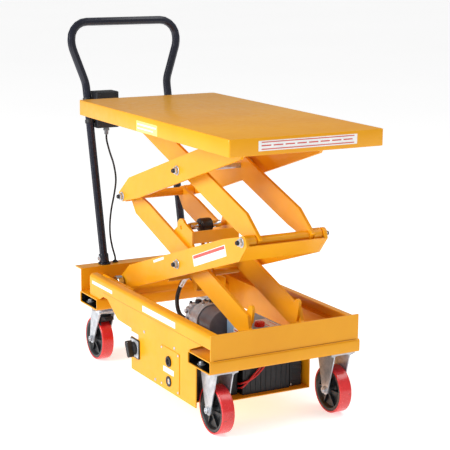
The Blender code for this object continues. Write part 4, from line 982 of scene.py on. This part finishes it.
# --- Platform and labels ---
def make_labels():
    bars = [(0.03, 0.97, 0.80, 0.90, "red_film"), (0.03, 0.97, 0.12, 0.22, "red_film")]
    bars += [(0.03 + k * 0.118, 0.03 + k * 0.118 + 0.095, 0.46, 0.58, "red_film") for k in range(8)]
    label("front_lip_label", P(0.6105, -0.162, 0.8515), (0, 0.324, 0), (0, 0, 0.0285), (1, 0, 0), "platform",
          "film", bars)
    label("near_lip_label", P(0.034, -0.254, 0.8415), (0.141, 0, 0), (0, 0, 0.0320), NEAR, "platform",
          "cream_film", [(0.05, 0.95, 0.62, 0.76, "film"), (0.05, 0.80, 0.26, 0.38, "film")])
    out = NEAR
    d = Vector((math.cos(ARM_ANGLE), 0, math.sin(ARM_ANGLE)))
    n = Vector((-math.sin(ARM_ANGLE), 0, math.cos(ARM_ANGLE)))
    corner = along_arm(CENTRE_X, LEVELS[1], -1, 0.112, -0.024, -ARM_FACE_Y)
    label("arm_label", corner, d * 0.215, n * 0.034, out, "lower_outer", "film",
          [(0.02, 0.98, 0.66, 0.94, "red_film")])
    corner = along_arm(CENTRE_X, LEVELS[1], -1, -0.166, 0.0285, -ARM_FACE_Y)
    label("arm_mark", corner, d * 0.078, n * 0.0085, out, "lower_outer", "film")
    label("rail_label_rear", P(-0.325, -0.2500, 0.2805), (0.160, 0, 0), (0, 0, 0.0110), out, "base", "film")
    label("rail_label_front", P(0.060, -0.2500, 0.2775), (0.224, 0, 0), (0, 0, 0.0190), out, "base", "film")
    label("cover_label", P(0.208, -0.25155, 0.1270), (0.070, 0, 0), (0, 0, 0.0170), out, "base", "film")


make_labels()


# --- Floor, light ---
def make_stage():
    work = bmesh.new()
    bmesh.ops.create_grid(work, x_segments=1, y_segments=1, size=30)
    floor = bpy.data.objects.new("floor", to_mesh(work))
    bpy.context.scene.collection.objects.link(floor)
    material, tree, shader, place = shaded("floor")
    tone = mixed(tree, between(tree, noise(tree, place, 0.6, 2.0), 0, 1), (0.91, 0.91, 0.91, 1),
                 (0.94, 0.94, 0.94, 1))
    tree.links.new(tone, shader.inputs["Base Color"])
    shader.inputs["Roughness"].default_value = 0.7
    shader.inputs["Emission Color"].default_value = (1, 1, 1, 1)
    shader.inputs["Emission Strength"].default_value = 0.57
    floor.data.materials.append(material)
    world = bpy.data.worlds.new("studio")
    world.use_nodes = True
    world.node_tree.nodes["Background"].inputs["Color"].default_value = (1.0, 1.0, 1.0, 1)
    world.node_tree.nodes["Background"].inputs["Strength"].default_value = 0.40
    bpy.context.scene.world = world
    for name, place, target, size, power in (
            ("key", (0.2, -5.0, 2.6), (0, 0, 0.5), 2.5, 235),
            ("top", (1.2, 1.9, 3.7), (0, 0, 0.5), 2.4, 55),
            ("fill", (4.5, 1.5, 1.8), (0, 0, 0.5), 2.5, 2)):
        light = bpy.data.lights.new(name, "AREA")
        light.size = size
        light.energy = power
        lamp = bpy.data.objects.new(name, light)
        bpy.context.scene.collection.objects.link(lamp)
        lamp.location = place
        lamp.rotation_euler = (Vector(target) - Vector(place)).to_track_quat("-Z", "Y").to_euler()
    bpy.context.scene.view_settings.view_transform = "Standard"


make_stage()
